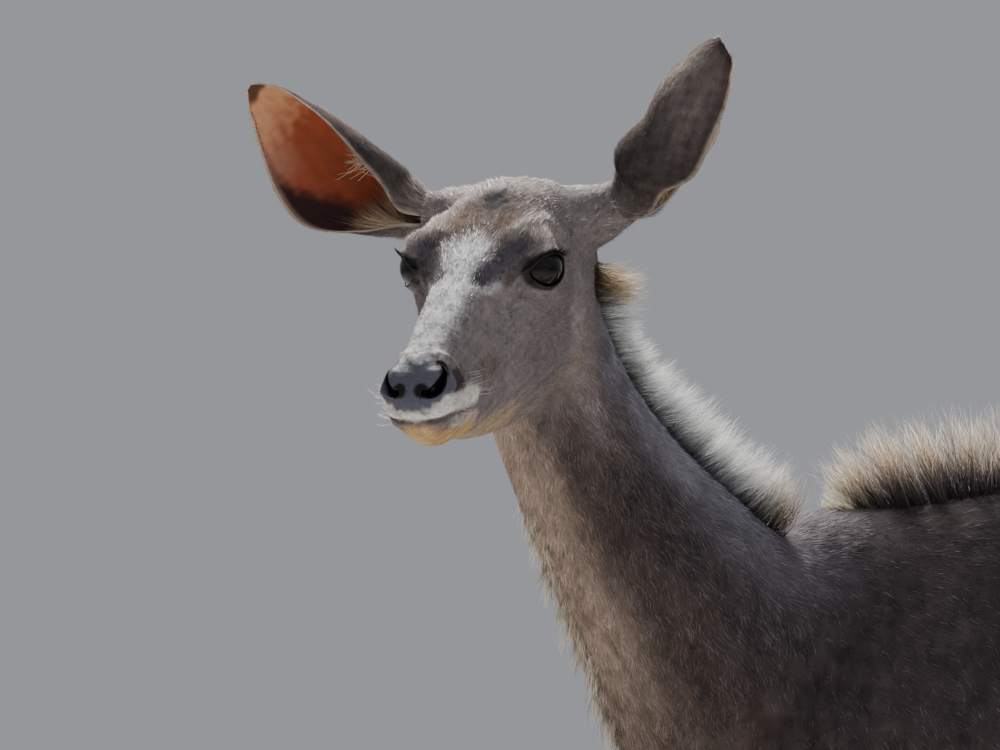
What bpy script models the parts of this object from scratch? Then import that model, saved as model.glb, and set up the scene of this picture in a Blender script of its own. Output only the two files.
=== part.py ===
"""A hornless greater kudu at rest, standing on four feet, its head turned to its left.

+Z is up, the animal faces -Y and its left side is +X. Every length is in metres.
"""
import math

import bmesh
import bpy
import numpy as np
from mathutils import Matrix, Vector
from mathutils.bvhtree import BVHTree

# Driving dimensions: change one of these to change the animal.
SHOULDER_HEIGHT = 1.24
HEAD_YAW = math.radians(49.5)
HEAD_PITCH = math.radians(29.0)
POLL_AT = (0.140, -0.349, 1.518)
EYE_RADIUS = 0.0225
EYE_CENTRE = (0.131, 0.0522, -0.026)
LID_THICKNESS = 0.0038
EAR_LENGTH = 0.2223
CORONET_HEIGHT = 0.052
GAP = 0.0003
VOXEL = 0.0055
HEAD_SHARE = 0.029
LEG_SHARE = 0.018
BODY_SHARE = 0.0125

for old in list(bpy.data.objects):
    bpy.data.objects.remove(old)
animal = bpy.data.collections.new("greater_kudu")
bpy.context.scene.collection.children.link(animal)
cutters = bpy.data.collections.new("cutters")
bpy.context.scene.collection.children.link(cutters)
cutters.hide_render = True


# Small tools: closed meshes from rings of points, smooth rows between stations, Booleans.

def unit(v):
    v = np.asarray(v, float)
    return v / np.linalg.norm(v, axis=-1, keepdims=True)


def smooth_rows(stations, rows, at):
    """Cubic rows through the given rows at the stations, read at the positions at."""
    stations = np.asarray(stations, float)
    rows = np.asarray(rows, float)
    step = np.diff(stations)[:, None]
    slope = np.diff(rows, axis=0) / step
    m = np.zeros_like(rows)
    m[1:-1] = (slope[:-1] * step[1:] + slope[1:] * step[:-1]) / (step[1:] + step[:-1])
    m[0] = slope[0]
    m[-1] = slope[-1]
    at = np.clip(np.asarray(at, float), stations[0], stations[-1])
    i = np.clip(np.searchsorted(stations, at, side="right") - 1, 0, len(stations) - 2)
    h = step[i]
    t = (at - stations[i])[:, None] / h
    a = (2 * t**3 - 3 * t**2 + 1) * rows[i] + (t**3 - 2 * t**2 + t) * h * m[i]
    b = (3 * t**2 - 2 * t**3) * rows[i + 1] + (t**3 - t**2) * h * m[i + 1]
    return a + b


def closed_loft(rings):
    """Points and faces of a tube through rings (n, m, 3), its two ends closed with fans."""
    n, m, _ = rings.shape
    i, j = np.meshgrid(np.arange(n - 1), np.arange(m), indexing="ij")
    k = (j + 1) % m
    faces = np.stack([i * m + j, i * m + k, (i + 1) * m + k, (i + 1) * m + j], -1)
    faces = faces.reshape(-1, 4).tolist()
    points = np.concatenate([rings.reshape(-1, 3), [rings[0].mean(0)], [rings[-1].mean(0)]])
    for a in range(m):
        b = (a + 1) % m
        faces.append([n * m, b, a])
        faces.append([n * m + 1, (n - 1) * m + a, (n - 1) * m + b])
    return points, outward(points, faces)


def outward(points, faces):
    """The faces turned so that the closed surface has a positive volume."""
    total = 0.0
    for f in faces:
        for k in range(1, len(f) - 1):
            total += np.dot(points[f[0]], np.cross(points[f[k]], points[f[k + 1]]))
    if total < 0:
        return [list(reversed(f)) for f in faces]
    return faces


def add_mesh(name, points, faces, collection=animal):
    mesh = bpy.data.meshes.new(name)
    mesh.from_pydata([tuple(p) for p in points], [], faces)
    mesh.update()
    obj = bpy.data.objects.new(name, mesh)
    collection.objects.link(obj)
    return obj


def applied(obj):
    """The object with its modifiers applied."""
    bpy.context.view_layer.update()
    graph = bpy.context.evaluated_depsgraph_get()
    mesh = bpy.data.meshes.new_from_object(obj.evaluated_get(graph))
    obj.modifiers.clear()
    obj.data = mesh
    return obj


def boolean(obj, other, operation, solver="MANIFOLD"):
    """One Boolean of obj with an object or a collection, applied."""
    cut = obj.modifiers.new(operation.lower(), "BOOLEAN")
    cut.operation = operation
    cut.solver = solver
    if isinstance(other, bpy.types.Collection):
        cut.operand_type = "COLLECTION"
        cut.collection = other
    else:
        cut.object = other
    return applied(obj)


def drop(*objects):
    for obj in objects:
        bpy.data.objects.remove(obj)


def largest_surface(obj):
    """Keeps the largest closed surface of the object and removes what a cut left loose."""
    bm = bmesh.new()
    bm.from_mesh(obj.data)
    bmesh.ops.remove_doubles(bm, verts=bm.verts, dist=2e-6)
    seen = set()
    groups = []
    for start in bm.verts:
        if start in seen:
            continue
        stack = [start]
        seen.add(start)
        group = []
        while stack:
            v = stack.pop()
            group.append(v)
            for e in v.link_edges:
                w = e.other_vert(v)
                if w not in seen:
                    seen.add(w)
                    stack.append(w)
        groups.append(group)
    groups.sort(key=len, reverse=True)
    for group in groups[1:]:
        bmesh.ops.delete(bm, geom=group, context="VERTS")
    bmesh.ops.triangulate(bm, faces=bm.faces)
    bm.to_mesh(obj.data)
    bm.free()
    return obj


def copy_of(obj, name):
    other = obj.copy()
    other.data = obj.data.copy()
    other.name = name
    animal.objects.link(other)
    return other


def block(name, low, high):
    """A closed box between two corners."""
    bm = bmesh.new()
    bmesh.ops.create_cube(bm, size=1.0)
    low = np.asarray(low, float)
    high = np.asarray(high, float)
    bmesh.ops.scale(bm, vec=Vector(high - low), verts=bm.verts)
    bmesh.ops.translate(bm, vec=Vector((low + high) / 2), verts=bm.verts)
    mesh = bpy.data.meshes.new(name)
    bm.to_mesh(mesh)
    bm.free()
    obj = bpy.data.objects.new(name, mesh)
    cutters.objects.link(obj)
    return obj


def half_space(name, point, normal, size=3.0):
    """A large box whose one face passes through point and which lies on the normal's side."""
    n = unit(normal)
    a = unit(np.cross(n, [0.31, 0.52, 0.79]))
    b = np.cross(n, a)
    box = block(name, (-size, -size, 0), (size, size, size))
    box.data.transform(Matrix(np.stack([a, b, n], 1).tolist()).to_4x4())
    box.data.transform(Matrix.Translation(Vector(point)))
    return box


def ball(name, centre, scale, rings, segments, pole=(0, 0, 1), collection=animal):
    """A ball with its poles along pole, or an ellipsoid where scale has three lengths."""
    bm = bmesh.new()
    bmesh.ops.create_uvsphere(bm, u_segments=segments, v_segments=rings, radius=1.0)
    p = unit(pole)
    a = unit(np.cross(p, [0.3, 0.5, 0.8])) if abs(p[2]) < 0.999 else np.array([1.0, 0, 0])
    b = np.cross(p, a)
    mesh = bpy.data.meshes.new(name)
    bm.to_mesh(mesh)
    bm.free()
    mesh.transform(Matrix.Diagonal(Vector(np.ones(3) * scale)).to_4x4())
    mesh.transform(Matrix(np.stack([a, b, p], 1).tolist()).to_4x4())
    mesh.transform(Matrix.Translation(Vector(centre)))
    obj = bpy.data.objects.new(name, mesh)
    collection.objects.link(obj)
    return obj


def ellipse_rings(centre, across, up, width, top, bottom, count, power=1.0):
    """Rings of half width across and half heights top and bottom; a low power squares them."""
    phi = np.linspace(0, 2 * np.pi, count, endpoint=False)
    c = np.sign(np.cos(phi)) * np.abs(np.cos(phi)) ** power
    s = np.sign(np.sin(phi)) * np.abs(np.sin(phi)) ** power
    height = np.where(s[None] > 0, top[:, None], bottom[:, None])
    side = across[:, None] * (width[:, None] * c[None])[..., None]
    return centre[:, None] + side + up[:, None] * (height * s[None])[..., None]


# The head in its own frame: x forward from the poll, y to the animal's left, z up.
# Columns: x, top line z, crown edge y z, widest y z, jaw edge y z, bottom line z.

HEAD_ROWS = np.array([
    [-0.045, -0.050, 0.034, -0.060, 0.048, -0.090, 0.038, -0.135, -0.150],
    [-0.005, -0.006, 0.040, -0.014, 0.058, -0.066, 0.046, -0.140, -0.172],
    [0.040, 0.006, 0.045, -0.001, 0.063, -0.055, 0.049, -0.150, -0.187],
    [0.085, 0.010, 0.049, 0.003, 0.065, -0.058, 0.050, -0.150, -0.190],
    [0.125, 0.010, 0.050, 0.003, 0.064, -0.058, 0.048, -0.148, -0.190],
    [0.165, 0.004, 0.037, -0.005, 0.054, -0.062, 0.042, -0.138, -0.180],
    [0.210, -0.003, 0.026, -0.011, 0.041, -0.062, 0.036, -0.124, -0.163],
    [0.255, -0.008, 0.022, -0.016, 0.033, -0.058, 0.031, -0.110, -0.143],
    [0.290, -0.012, 0.021, -0.020, 0.032, -0.056, 0.029, -0.098, -0.124],
    [0.318, -0.017, 0.023, -0.025, 0.034, -0.056, 0.028, -0.090, -0.112],
    [0.340, -0.026, 0.022, -0.033, 0.032, -0.057, 0.023, -0.082, -0.098],
    [0.354, -0.038, 0.016, -0.044, 0.022, -0.060, 0.014, -0.074, -0.084],
])
# Swellings and hollows: centre, radii and push, each mirrored to the other side.
HEAD_SWELLINGS = [
    ((0.126, 0.064, -0.028), (0.042, 0.022, 0.034), (0.000, 0.010, 0.000)),
    ((0.136, 0.062, -0.003), (0.032, 0.022, 0.014), (0.000, 0.014, 0.004)),
    ((0.122, 0.064, -0.068), (0.040, 0.020, 0.016), (0.000, 0.006, 0.000)),
    ((0.190, 0.045, -0.030), (0.032, 0.030, 0.020), (0.000, -0.007, 0.000)),
    ((0.072, 0.060, -0.020), (0.020, 0.030, 0.020), (0.000, -0.006, 0.000)),
    ((0.060, 0.055, -0.120), (0.045, 0.030, 0.040), (0.000, 0.008, 0.000)),
    ((0.332, 0.030, -0.038), (0.018, 0.020, 0.020), (0.002, 0.008, 0.002)),
    ((0.300, 0.028, -0.072), (0.030, 0.020, 0.012), (0.000, 0.005, 0.000)),
    ((0.030, 0.000, 0.004), (0.030, 0.030, 0.020), (0.000, 0.000, 0.007)),
    ((0.320, 0.000, -0.115), (0.020, 0.030, 0.015), (0.000, 0.000, -0.004)),
]


def head_axes():
    """World directions of the head's forward, left and up."""
    c = math.cos(HEAD_PITCH)
    s = math.sin(HEAD_PITCH)
    heading = np.array([math.sin(HEAD_YAW), -math.cos(HEAD_YAW), 0.0])
    left = np.array([math.cos(HEAD_YAW), math.sin(HEAD_YAW), 0.0])
    forward = heading * c - np.array([0, 0, s])
    return np.stack([forward, left, np.cross(forward, left)], 1)


def head_to_world(points):
    return np.asarray(POLL_AT) + np.asarray(points, float) @ head_axes().T


def head_loft(n_u=120, n_v=96):
    x = smooth_rows(np.linspace(0, 1, 5), [[-0.045], [0.07], [0.18], [0.30], [0.354]], np.linspace(0, 1, n_u))
    x = x[:, 0]
    v = smooth_rows(HEAD_ROWS[:, 0], HEAD_ROWS[:, 1:], x)
    top, y1, z1, y2, z2, y3, z3, low = v.T
    none = np.zeros_like(top)
    ys = np.stack([none, y1, y2, y3, none, -y3, -y2, -y1], 1)
    zs = np.stack([top, z1, z2, z3, low, z3, z2, z1], 1)
    wrap = np.arange(-1, 11) % 8
    t = np.linspace(0, 8, n_v, endpoint=False)
    i = np.floor(t).astype(int)
    f = t - i
    out = []
    for c in (ys[:, wrap], zs[:, wrap]):
        p0, p1, p2, p3 = c[:, i], c[:, i + 1], c[:, i + 2], c[:, i + 3]
        cubic = 2 * p1 + (p2 - p0) * f + (2 * p0 - 5 * p1 + 4 * p2 - p3) * f**2
        out.append(0.5 * (cubic + (3 * p1 - 3 * p2 + p3 - p0) * f**3))
    p = np.stack([np.repeat(x[:, None], n_v, 1), out[0], out[1]], -1)
    for centre, radii, push in HEAD_SWELLINGS:
        for side in ((1, -1) if centre[1] else (1,)):
            mirror = np.array([1, side, 1])
            weight = np.exp(-(((p - np.array(centre) * mirror) / np.array(radii)) ** 2).sum(-1))
            p = p + weight[..., None] * np.array(push) * mirror
    return p


# Neck: a centre line that rises and turns to the left, and its half depths and half width.
NECK_PATH = np.array([
    [0.000, 0.120, 0.955], [0.000, 0.020, 1.005], [0.018, -0.085, 1.085], [0.050, -0.180, 1.190],
    [0.080, -0.255, 1.290], [0.102, -0.305, 1.380], [0.110, -0.328, 1.452],
])
NECK_ROWS = np.array([
    [0.245, 0.205, 0.136, 0], [0.208, 0.200, 0.122, 4], [0.115, 0.158, 0.104, 9],
    [0.075, 0.118, 0.079, 13], [0.054, 0.097, 0.062, 16], [0.052, 0.084, 0.055, 20],
    [0.054, 0.066, 0.052, 24],
])


def neck_loft(n_u=60, n_v=64):
    k = np.linspace(0, 1, len(NECK_PATH))
    t = np.linspace(0, 1, n_u)
    centre = smooth_rows(k, NECK_PATH, t)
    rows = smooth_rows(k, NECK_ROWS, t)
    along = unit(np.gradient(centre, axis=0))
    side = unit(np.cross(along, np.repeat([[0, 0.5, 1.0]], n_u, 0)))
    up = np.cross(side, along)
    c = np.cos(np.radians(rows[:, 3:4]))
    s = np.sin(np.radians(rows[:, 3:4]))
    across = side * c + up * s
    up = up * c - side * s
    return ellipse_rings(centre, across, up, rows[:, 2], rows[:, 0], rows[:, 1], n_v, 0.95)


# Trunk: y, top line, bottom line, half width, height of the widest point.
TRUNK_ROWS = np.array([
    [-0.186, 1.040, 0.930, 0.034, 0.990],
    [-0.165, 1.085, 0.875, 0.064, 0.980],
    [-0.105, 1.160, 0.805, 0.102, 0.970],
    [-0.020, 1.202, 0.755, 0.134, 0.960],
    [0.100, 1.212, 0.735, 0.150, 0.950],
    [0.200, 1.228, 0.730, 0.162, 0.940],
    [0.320, 1.240, 0.730, 0.184, 0.930],
    [0.480, 1.220, 0.730, 0.206, 0.920],
    [0.660, 1.200, 0.742, 0.208, 0.930],
    [0.800, 1.203, 0.778, 0.184, 0.970],
    [0.900, 1.212, 0.820, 0.162, 1.020],
    [1.000, 1.196, 0.870, 0.142, 1.040],
    [1.070, 1.150, 0.910, 0.105, 1.040],
    [1.110, 1.080, 0.970, 0.050, 1.030],
])


def trunk_loft(n_u=90, n_v=72):
    y = np.interp(np.linspace(0, 1, n_u), np.linspace(0, 1, len(TRUNK_ROWS)), TRUNK_ROWS[:, 0])
    top, low, wide, middle = smooth_rows(TRUNK_ROWS[:, 0], TRUNK_ROWS[:, 1:], y).T
    centre = np.stack([0 * y, y, middle], 1)
    across = np.repeat([[1.0, 0, 0]], n_u, 0)
    up = np.repeat([[0, 0, 1.0]], n_u, 0)
    return ellipse_rings(centre, across, up, wide, top - middle, middle - low, n_v, 0.9)


# Legs from the shoulder blade or the croup to the coronet: x, y, z, half width, half depth.
FORELEG_ROWS = np.array([
    [0.078, 0.150, 1.160, 0.030, 0.070],
    [0.100, 0.090, 1.090, 0.046, 0.100],
    [0.116, 0.030, 1.000, 0.056, 0.112],
    [0.122, -0.010, 0.920, 0.056, 0.108],
    [0.118, 0.020, 0.840, 0.050, 0.095],
    [0.110, 0.060, 0.770, 0.043, 0.070],
    [0.102, 0.062, 0.690, 0.037, 0.050],
    [0.096, 0.055, 0.600, 0.030, 0.039],
    [0.090, 0.050, 0.500, 0.0245, 0.030],
    [0.088, 0.046, 0.445, 0.0285, 0.034],
    [0.088, 0.046, 0.405, 0.0285, 0.034],
    [0.087, 0.052, 0.360, 0.0215, 0.027],
    [0.086, 0.054, 0.270, 0.0175, 0.0225],
    [0.086, 0.054, 0.180, 0.0180, 0.0235],
    [0.086, 0.054, 0.135, 0.0245, 0.0300],
    [0.086, 0.040, 0.098, 0.0200, 0.0235],
    [0.086, 0.028, 0.068, 0.0250, 0.0290],
    [0.086, 0.018, 0.038, 0.0300, 0.0370],
])
HINDLEG_ROWS = np.array([
    [0.060, 0.960, 1.140, 0.045, 0.085],
    [0.088, 0.940, 1.075, 0.062, 0.125],
    [0.106, 0.925, 0.990, 0.068, 0.142],
    [0.116, 0.900, 0.900, 0.064, 0.132],
    [0.118, 0.870, 0.820, 0.054, 0.100],
    [0.112, 0.885, 0.750, 0.046, 0.072],
    [0.105, 0.925, 0.670, 0.037, 0.052],
    [0.098, 0.970, 0.590, 0.028, 0.038],
    [0.093, 1.010, 0.520, 0.025, 0.040],
    [0.091, 1.030, 0.470, 0.029, 0.042],
    [0.090, 1.032, 0.425, 0.026, 0.033],
    [0.089, 1.026, 0.370, 0.0205, 0.027],
    [0.088, 1.016, 0.270, 0.0180, 0.0240],
    [0.088, 1.008, 0.185, 0.0185, 0.0245],
    [0.088, 1.004, 0.138, 0.0245, 0.0305],
    [0.088, 0.988, 0.100, 0.0200, 0.0240],
    [0.088, 0.975, 0.068, 0.0250, 0.0290],
    [0.088, 0.963, 0.038, 0.0300, 0.0370],
])
# How far each foot stands in front of or behind its pair's middle.
LEGS = [
    ("leg_fore_left", FORELEG_ROWS, 1, -0.030),
    ("leg_fore_right", FORELEG_ROWS, -1, 0.030),
    ("leg_hind_left", HINDLEG_ROWS, 1, 0.035),
    ("leg_hind_right", HINDLEG_ROWS, -1, -0.045),
]


def leg_rows(rows, side, shift, at):
    v = smooth_rows(np.arange(len(rows)), rows, at)
    v[:, 1] += shift * np.clip((0.9 - v[:, 2]) / 0.5, 0, 1)
    v[:, 0] *= side
    return v


def leg_loft(rows, side, shift, n_u=90, n_v=32):
    v = leg_rows(rows, side, shift, np.linspace(0, len(rows) - 1, n_u))
    across = np.repeat([[1.0, 0, 0]], n_u, 0)
    deep = np.repeat([[0, 1.0, 0]], n_u, 0)
    return ellipse_rings(v[:, :3], across, deep, v[:, 3], v[:, 4], v[:, 4], n_v)


# Ears, in the head's frame: side, centre of the flat at the base, its normal, the ear's axis,
# the way its cup opens, its twist toward the tip, its sag and its curl. The left ear is turned
# back toward the tip and the right one forward.
EARS = [
    ("ear_left", 1, (0.000, 0.087, -0.034), (-0.05, 0.91, 0.40),
     (-0.041, 0.579, 0.814), (0.404, 0.864, -0.299), 1.24, -0.0175, 0.026),
    ("ear_right", -1, (0.000, -0.086, -0.042), (0.00, -0.99, 0.08),
     (-0.121, -0.776, 0.619), (0.985, 0.097, 0.141), -0.28, 0.0125, 0.010),
]
EAR_BEND = 0.30
EAR_T = [0.00, 0.06, 0.14, 0.25, 0.45, 0.62, 0.78, 0.90, 0.97, 1.00]
# Half arc length, half angle in degrees, wall thickness, bow of the axis away from the opening
# and share of the ear's curl.
EAR_ROWS = [
    [0.071, 172, 0.0170, 0.000, 0.0],
    [0.070, 170, 0.0110, 0.001, 0.0],
    [0.078, 167, 0.0065, 0.003, 0.0],
    [0.090, 140, 0.0042, 0.006, 0.0],
    [0.0974, 110, 0.0032, 0.010, 1.0],
    [0.0845, 94, 0.0030, 0.010, 1.0],
    [0.0590, 81, 0.0028, 0.006, 0.8],
    [0.0352, 69, 0.0026, 0.001, 0.5],
    [0.0170, 60, 0.0024, -0.003, 0.3],
    [0.0055, 50, 0.0022, -0.005, 0.0],
]


def ear_spine(base, normal, axis, opening, twist, sag, t):
    """The ear's axis, which leaves the flat squarely and then bends, with a frame that turns no more
    than the axis does, and the twist."""
    fine = np.linspace(0, 1, 201)
    lean = np.clip(fine / EAR_BEND, 0, 1)
    lean = (lean * lean * (3 - 2 * lean))[:, None]
    frame = head_axes()
    n = frame @ unit(normal)
    a = frame @ unit(axis)
    d = unit(n * (1 - lean) + a * lean)
    steps = np.concatenate([[[0, 0, 0]], np.cumsum((d[1:] + d[:-1]) / 2 * EAR_LENGTH / 200, axis=0)])
    p = head_to_world(base) + steps
    side = np.sign(base[1])
    low = frame @ np.array([0, side * 0.5, -0.85]) * sag
    p = p + low * (np.sin(np.pi * np.clip(fine * 1.15 - 0.12, 0, 1)) ** 1.5)[:, None]
    p = np.stack([np.interp(t, fine, p[:, k]) for k in range(3)], 1)
    d = unit(np.stack([np.interp(t, fine, d[:, k]) for k in range(3)], 1))
    hinge = unit(np.cross(n, a))
    o = frame @ unit(opening)
    o = unit(o - a * (a @ o))
    o = hinge * (o @ hinge) + np.cross(hinge, d) * (o @ np.cross(hinge, a))
    b = np.cross(d, o)
    w = (twist * np.clip((t - 0.1) / 0.9, 0, 1))[:, None]
    return p, d, o * np.cos(w) + b * np.sin(w), b * np.cos(w) - o * np.sin(w)


def ear_shell(base, normal, axis, opening, twist, sag, curl, n_t=17, n_a=10):
    """Closed cup: an outer wall and an inner wall over the same arc, joined along the rim."""
    t = np.linspace(0, 1, n_t) ** 0.92
    arc, angle, wall, bow, share = smooth_rows(EAR_T, EAR_ROWS, t).T
    bow = bow - share * curl
    angle = np.radians(angle)
    rho = arc / angle
    spine, d, o, b = ear_spine(base, normal, axis, opening, twist, sag, t)
    spine = spine + o * ((rho - rho[0]) * 0.55 - bow)[:, None]
    s = np.linspace(-1, 1, n_a)
    phi = (angle[:, None] * s[None])[..., None]
    outer = spine[:, None] + (b[:, None] * np.sin(phi) - o[:, None] * np.cos(phi)) * rho[:, None, None]
    inner_rho = np.maximum(rho[:, None] - wall[:, None] * (1 - 0.5 * s[None] ** 4), 0.0015)
    phi = phi * 0.988
    inner = (b[:, None] * np.sin(phi) - o[:, None] * np.cos(phi)) * inner_rho[..., None]
    inner = spine[:, None] + inner
    rings = np.concatenate([outer, inner[:, ::-1]], 1)
    n, m, _ = rings.shape
    i, j = np.meshgrid(np.arange(n - 1), np.arange(m), indexing="ij")
    k = (j + 1) % m
    faces = np.stack([i * m + j, i * m + k, (i + 1) * m + k, (i + 1) * m + j], -1)
    faces = faces.reshape(-1, 4).tolist()
    for j in range(n_a - 1):
        faces.append([j, m - 1 - j, m - 2 - j, j + 1])
        faces.append([(n - 1) * m + q for q in (j, j + 1, m - 2 - j, m - 1 - j)])
    points = rings.reshape(-1, 3)
    return points, outward(points, faces)


def ear_root(side, base, normal, count=24):
    """The swelling that carries the ear, from inside the skull to past the flat."""
    base = head_to_world(base)
    n = head_axes() @ unit(normal)
    inside = head_to_world([0.012, side * 0.022, -0.048])
    centre = np.array([inside, (inside + base - n * 0.012) / 2, base - n * 0.012, base, base + n * 0.016])
    r = np.array([0.040, 0.037, 0.0290, 0.0250, 0.024])
    across = unit(np.cross(n, [0, 0, 1.0]))
    up = np.cross(across, n)
    rows = [np.repeat(v[None], 5, 0) for v in (across, up)]
    return ellipse_rings(centre, rows[0], rows[1], r, r, r, count)


# Flesh: head, neck, trunk, legs and ear roots blended into one skin.
shells = [closed_loft(head_to_world(head_loft())), closed_loft(neck_loft()), closed_loft(trunk_loft())]
for name, rows, side, shift in LEGS:
    shells.append(closed_loft(leg_loft(rows, side, shift)))
for name, side, base, normal, axis, opening, twist, sag, curl in EARS:
    shells.append(closed_loft(ear_root(side, base, normal)))
tail_root = np.array([[0, 1.02, 1.150], [0, 1.075, 1.135], [0, 1.110, 1.100], [0, 1.128, 1.060]])
tail_size = np.array([0.034, 0.026, 0.019, 0.016])
tail_along = unit(np.gradient(tail_root, axis=0))
tail_up = np.cross(tail_along, [[1.0, 0, 0]] * 4)
shells.append(closed_loft(ellipse_rings(
    tail_root, np.array([[1.0, 0, 0]] * 4), tail_up, tail_size, tail_size, tail_size, 20)))
offset = 0
points = []
faces = []
for p, f in shells:
    points.append(p)
    faces += [[q + offset for q in face] for face in f]
    offset += len(p)
flesh = add_mesh("flesh", np.concatenate(points), faces)
remesh = flesh.modifiers.new("blend", "REMESH")
remesh.mode = "VOXEL"
remesh.voxel_size = VOXEL
applied(flesh)


def soften(obj, weight_of, iterations):
    """Smooths the surface where weight_of(points) says so."""
    n = len(obj.data.vertices)
    co = np.empty(n * 3)
    obj.data.vertices.foreach_get("co", co)
    co = co.reshape(-1, 3)
    group = obj.vertex_groups.new(name="soft")
    weight = np.clip(weight_of(co), 0, 1)
    for level in range(1, 11):
        pick = np.nonzero(np.round(weight * 10) == level)[0]
        if len(pick):
            group.add(pick.tolist(), level / 10, "REPLACE")
    smooth = obj.modifiers.new("soft", "SMOOTH")
    smooth.factor = 0.5
    smooth.iterations = iterations
    smooth.vertex_group = "soft"
    applied(obj)
    obj.vertex_groups.clear()


def body_softness(p):
    """Broad on the shoulder, haunch and neck base, none on the head and the lower legs."""
    head = (p - np.asarray(POLL_AT)) @ head_axes()
    near_head = np.exp(-np.maximum(0, np.linalg.norm(head - [0.10, 0, -0.06], axis=1) - 0.16) / 0.03)
    height = np.clip((p[:, 2] - 0.62) / 0.15, 0, 1)
    return height * (1 - near_head)


soften(flesh, lambda p: np.ones(len(p)), 3)
soften(flesh, body_softness, 45)


def decimated(obj, share, name):
    other = copy_of(obj, name)
    fewer = other.modifiers.new("fewer", "DECIMATE")
    fewer.ratio = share
    return applied(other)


fine = decimated(flesh, HEAD_SHARE, "fine")
middling = decimated(flesh, LEG_SHARE, "middling")
coarse = decimated(flesh, BODY_SHARE, "coarse")
drop(flesh)

# Locks: flat tapered tufts that bend along their lie, their roots sunk into the skin.
draw = np.random.default_rng(11)
LOCK_SINK = 0.010
LOCK_THICKNESS = 0.0040


def skin_finder(obj):
    mesh = obj.data
    return BVHTree.FromPolygons([v.co for v in mesh.vertices], [p.vertices for p in mesh.polygons])


def on_skin(tree, start, toward):
    point, normal, _, _ = tree.ray_cast(Vector(start), Vector(unit(toward)))
    return np.array(point), unit(normal)


def lock(root, first, last, wide, length, width, thickness=LOCK_THICKNESS):
    """Points and faces of one lock from root: it sets out along first and ends along last."""
    t = np.array([0.0, 0.42, 0.78, 1.0])[:, None]
    d0 = unit(first)
    d1 = unit(last)
    centre = np.asarray(root) + length * (d0 * (t - t * t / 2) + d1 * t * t / 2)
    along = unit(d0 * (1 - t) + d1 * t)
    side = unit(wide - along * (along * wide).sum(1, keepdims=True))
    flat = np.cross(along, side)
    half_width = width / 2 * np.array([[0.85], [1.0], [0.58]])
    half_thick = thickness / 2 * np.array([[1.0], [0.85], [0.55]])
    c = centre[:3]
    s = side[:3] * half_width
    f = flat[:3] * half_thick
    rings = np.stack([c + s, c + f, c - s, c - f], 1)
    points = np.concatenate([rings.reshape(-1, 3), centre[3:]])
    faces = [[3, 2, 1, 0]]
    for i in range(2):
        for j in range(4):
            k = (j + 1) % 4
            faces.append([i * 4 + j, i * 4 + k, i * 4 + 4 + k, i * 4 + 4 + j])
    for j in range(4):
        faces.append([8 + j, 8 + (j + 1) % 4, 12])
    return points, outward(points, faces)


def grow(obj, locks):
    """Fuses the locks to the object with one union."""
    hair = bpy.data.collections.new("locks")
    bpy.context.scene.collection.children.link(hair)
    for points, faces in locks:
        add_mesh("lock", points, faces, hair)
    boolean(obj, hair, "UNION")
    drop(*list(hair.objects))
    bpy.data.collections.remove(hair)


# Mane: stands up along the nape from behind the ears to the dip before the withers.
MANE_SPAN = (0.900, 0.250)
MANE_ROWS = ((0.0, 0.0, 19), (-0.012, 0.4, 13), (0.012, 0.6, 13))
MANE_LENGTH = 0.056
LOCK_WIDTH = 0.028


def neck_frame(s):
    k = np.linspace(0, 1, len(NECK_PATH))
    fine = np.array([s - 0.01, s, s + 0.01])
    centre = smooth_rows(k, NECK_PATH, fine)
    twist = math.radians(smooth_rows(k, NECK_ROWS, [s])[0, 3])
    along = unit(centre[2] - centre[0])
    side = unit(np.cross(along, [0, 0.5, 1.0]))
    up = np.cross(side, along)
    return centre[1], along, side, up, twist


def mane_locks(tree):
    out = []
    for across, stagger, count in MANE_ROWS:
        for i in range(count):
            share = (i + stagger + draw.uniform(-0.15, 0.15)) / count
            s = MANE_SPAN[0] + (MANE_SPAN[1] - MANE_SPAN[0]) * share
            centre, along, side, up, twist = neck_frame(s)
            over = up * math.cos(twist) - side * math.sin(twist)
            right = side * math.cos(twist) + up * math.sin(twist)
            start = centre + over * 0.45 + right * across
            point, normal = on_skin(tree, start, -over)
            back = -along
            spread = right * across / 0.012
            tall = 0.80 - 0.24 * math.exp(-((share - 0.30) / 0.15) ** 2) + 0.20 * min(1, max(0, share - 0.3) / 0.4)
            length = (MANE_LENGTH * tall + LOCK_SINK) * draw.uniform(0.88, 1.12)
            first = normal + back * draw.uniform(0.0, 0.25) + spread * 0.20
            last = normal + back * draw.uniform(0.25, 0.65) + spread * 0.12
            out.append(lock(point - normal * LOCK_SINK, first, last, along, length, LOCK_WIDTH))
    return out


# Crest: tall over the withers, where its first hairs point forward, then low along the back.
CREST_ROWS = ((0.0, 0.0, 0.0235, 0.052), (-0.013, 0.3, 0.034, 0.095), (0.013, 0.7, 0.034, 0.095))
CREST_STATIONS = [0.022, 0.050, 0.090, 0.140, 0.200, 0.300, 0.450, 0.700, 0.950]
CREST_SIZES = [
    [0.024, 0.95], [0.056, 0.85], [0.076, 0.55], [0.077, 0.15], [0.072, -0.30], [0.058, -0.70],
    [0.042, -1.00], [0.031, -1.20], [0.020, -1.50],
]


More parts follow.
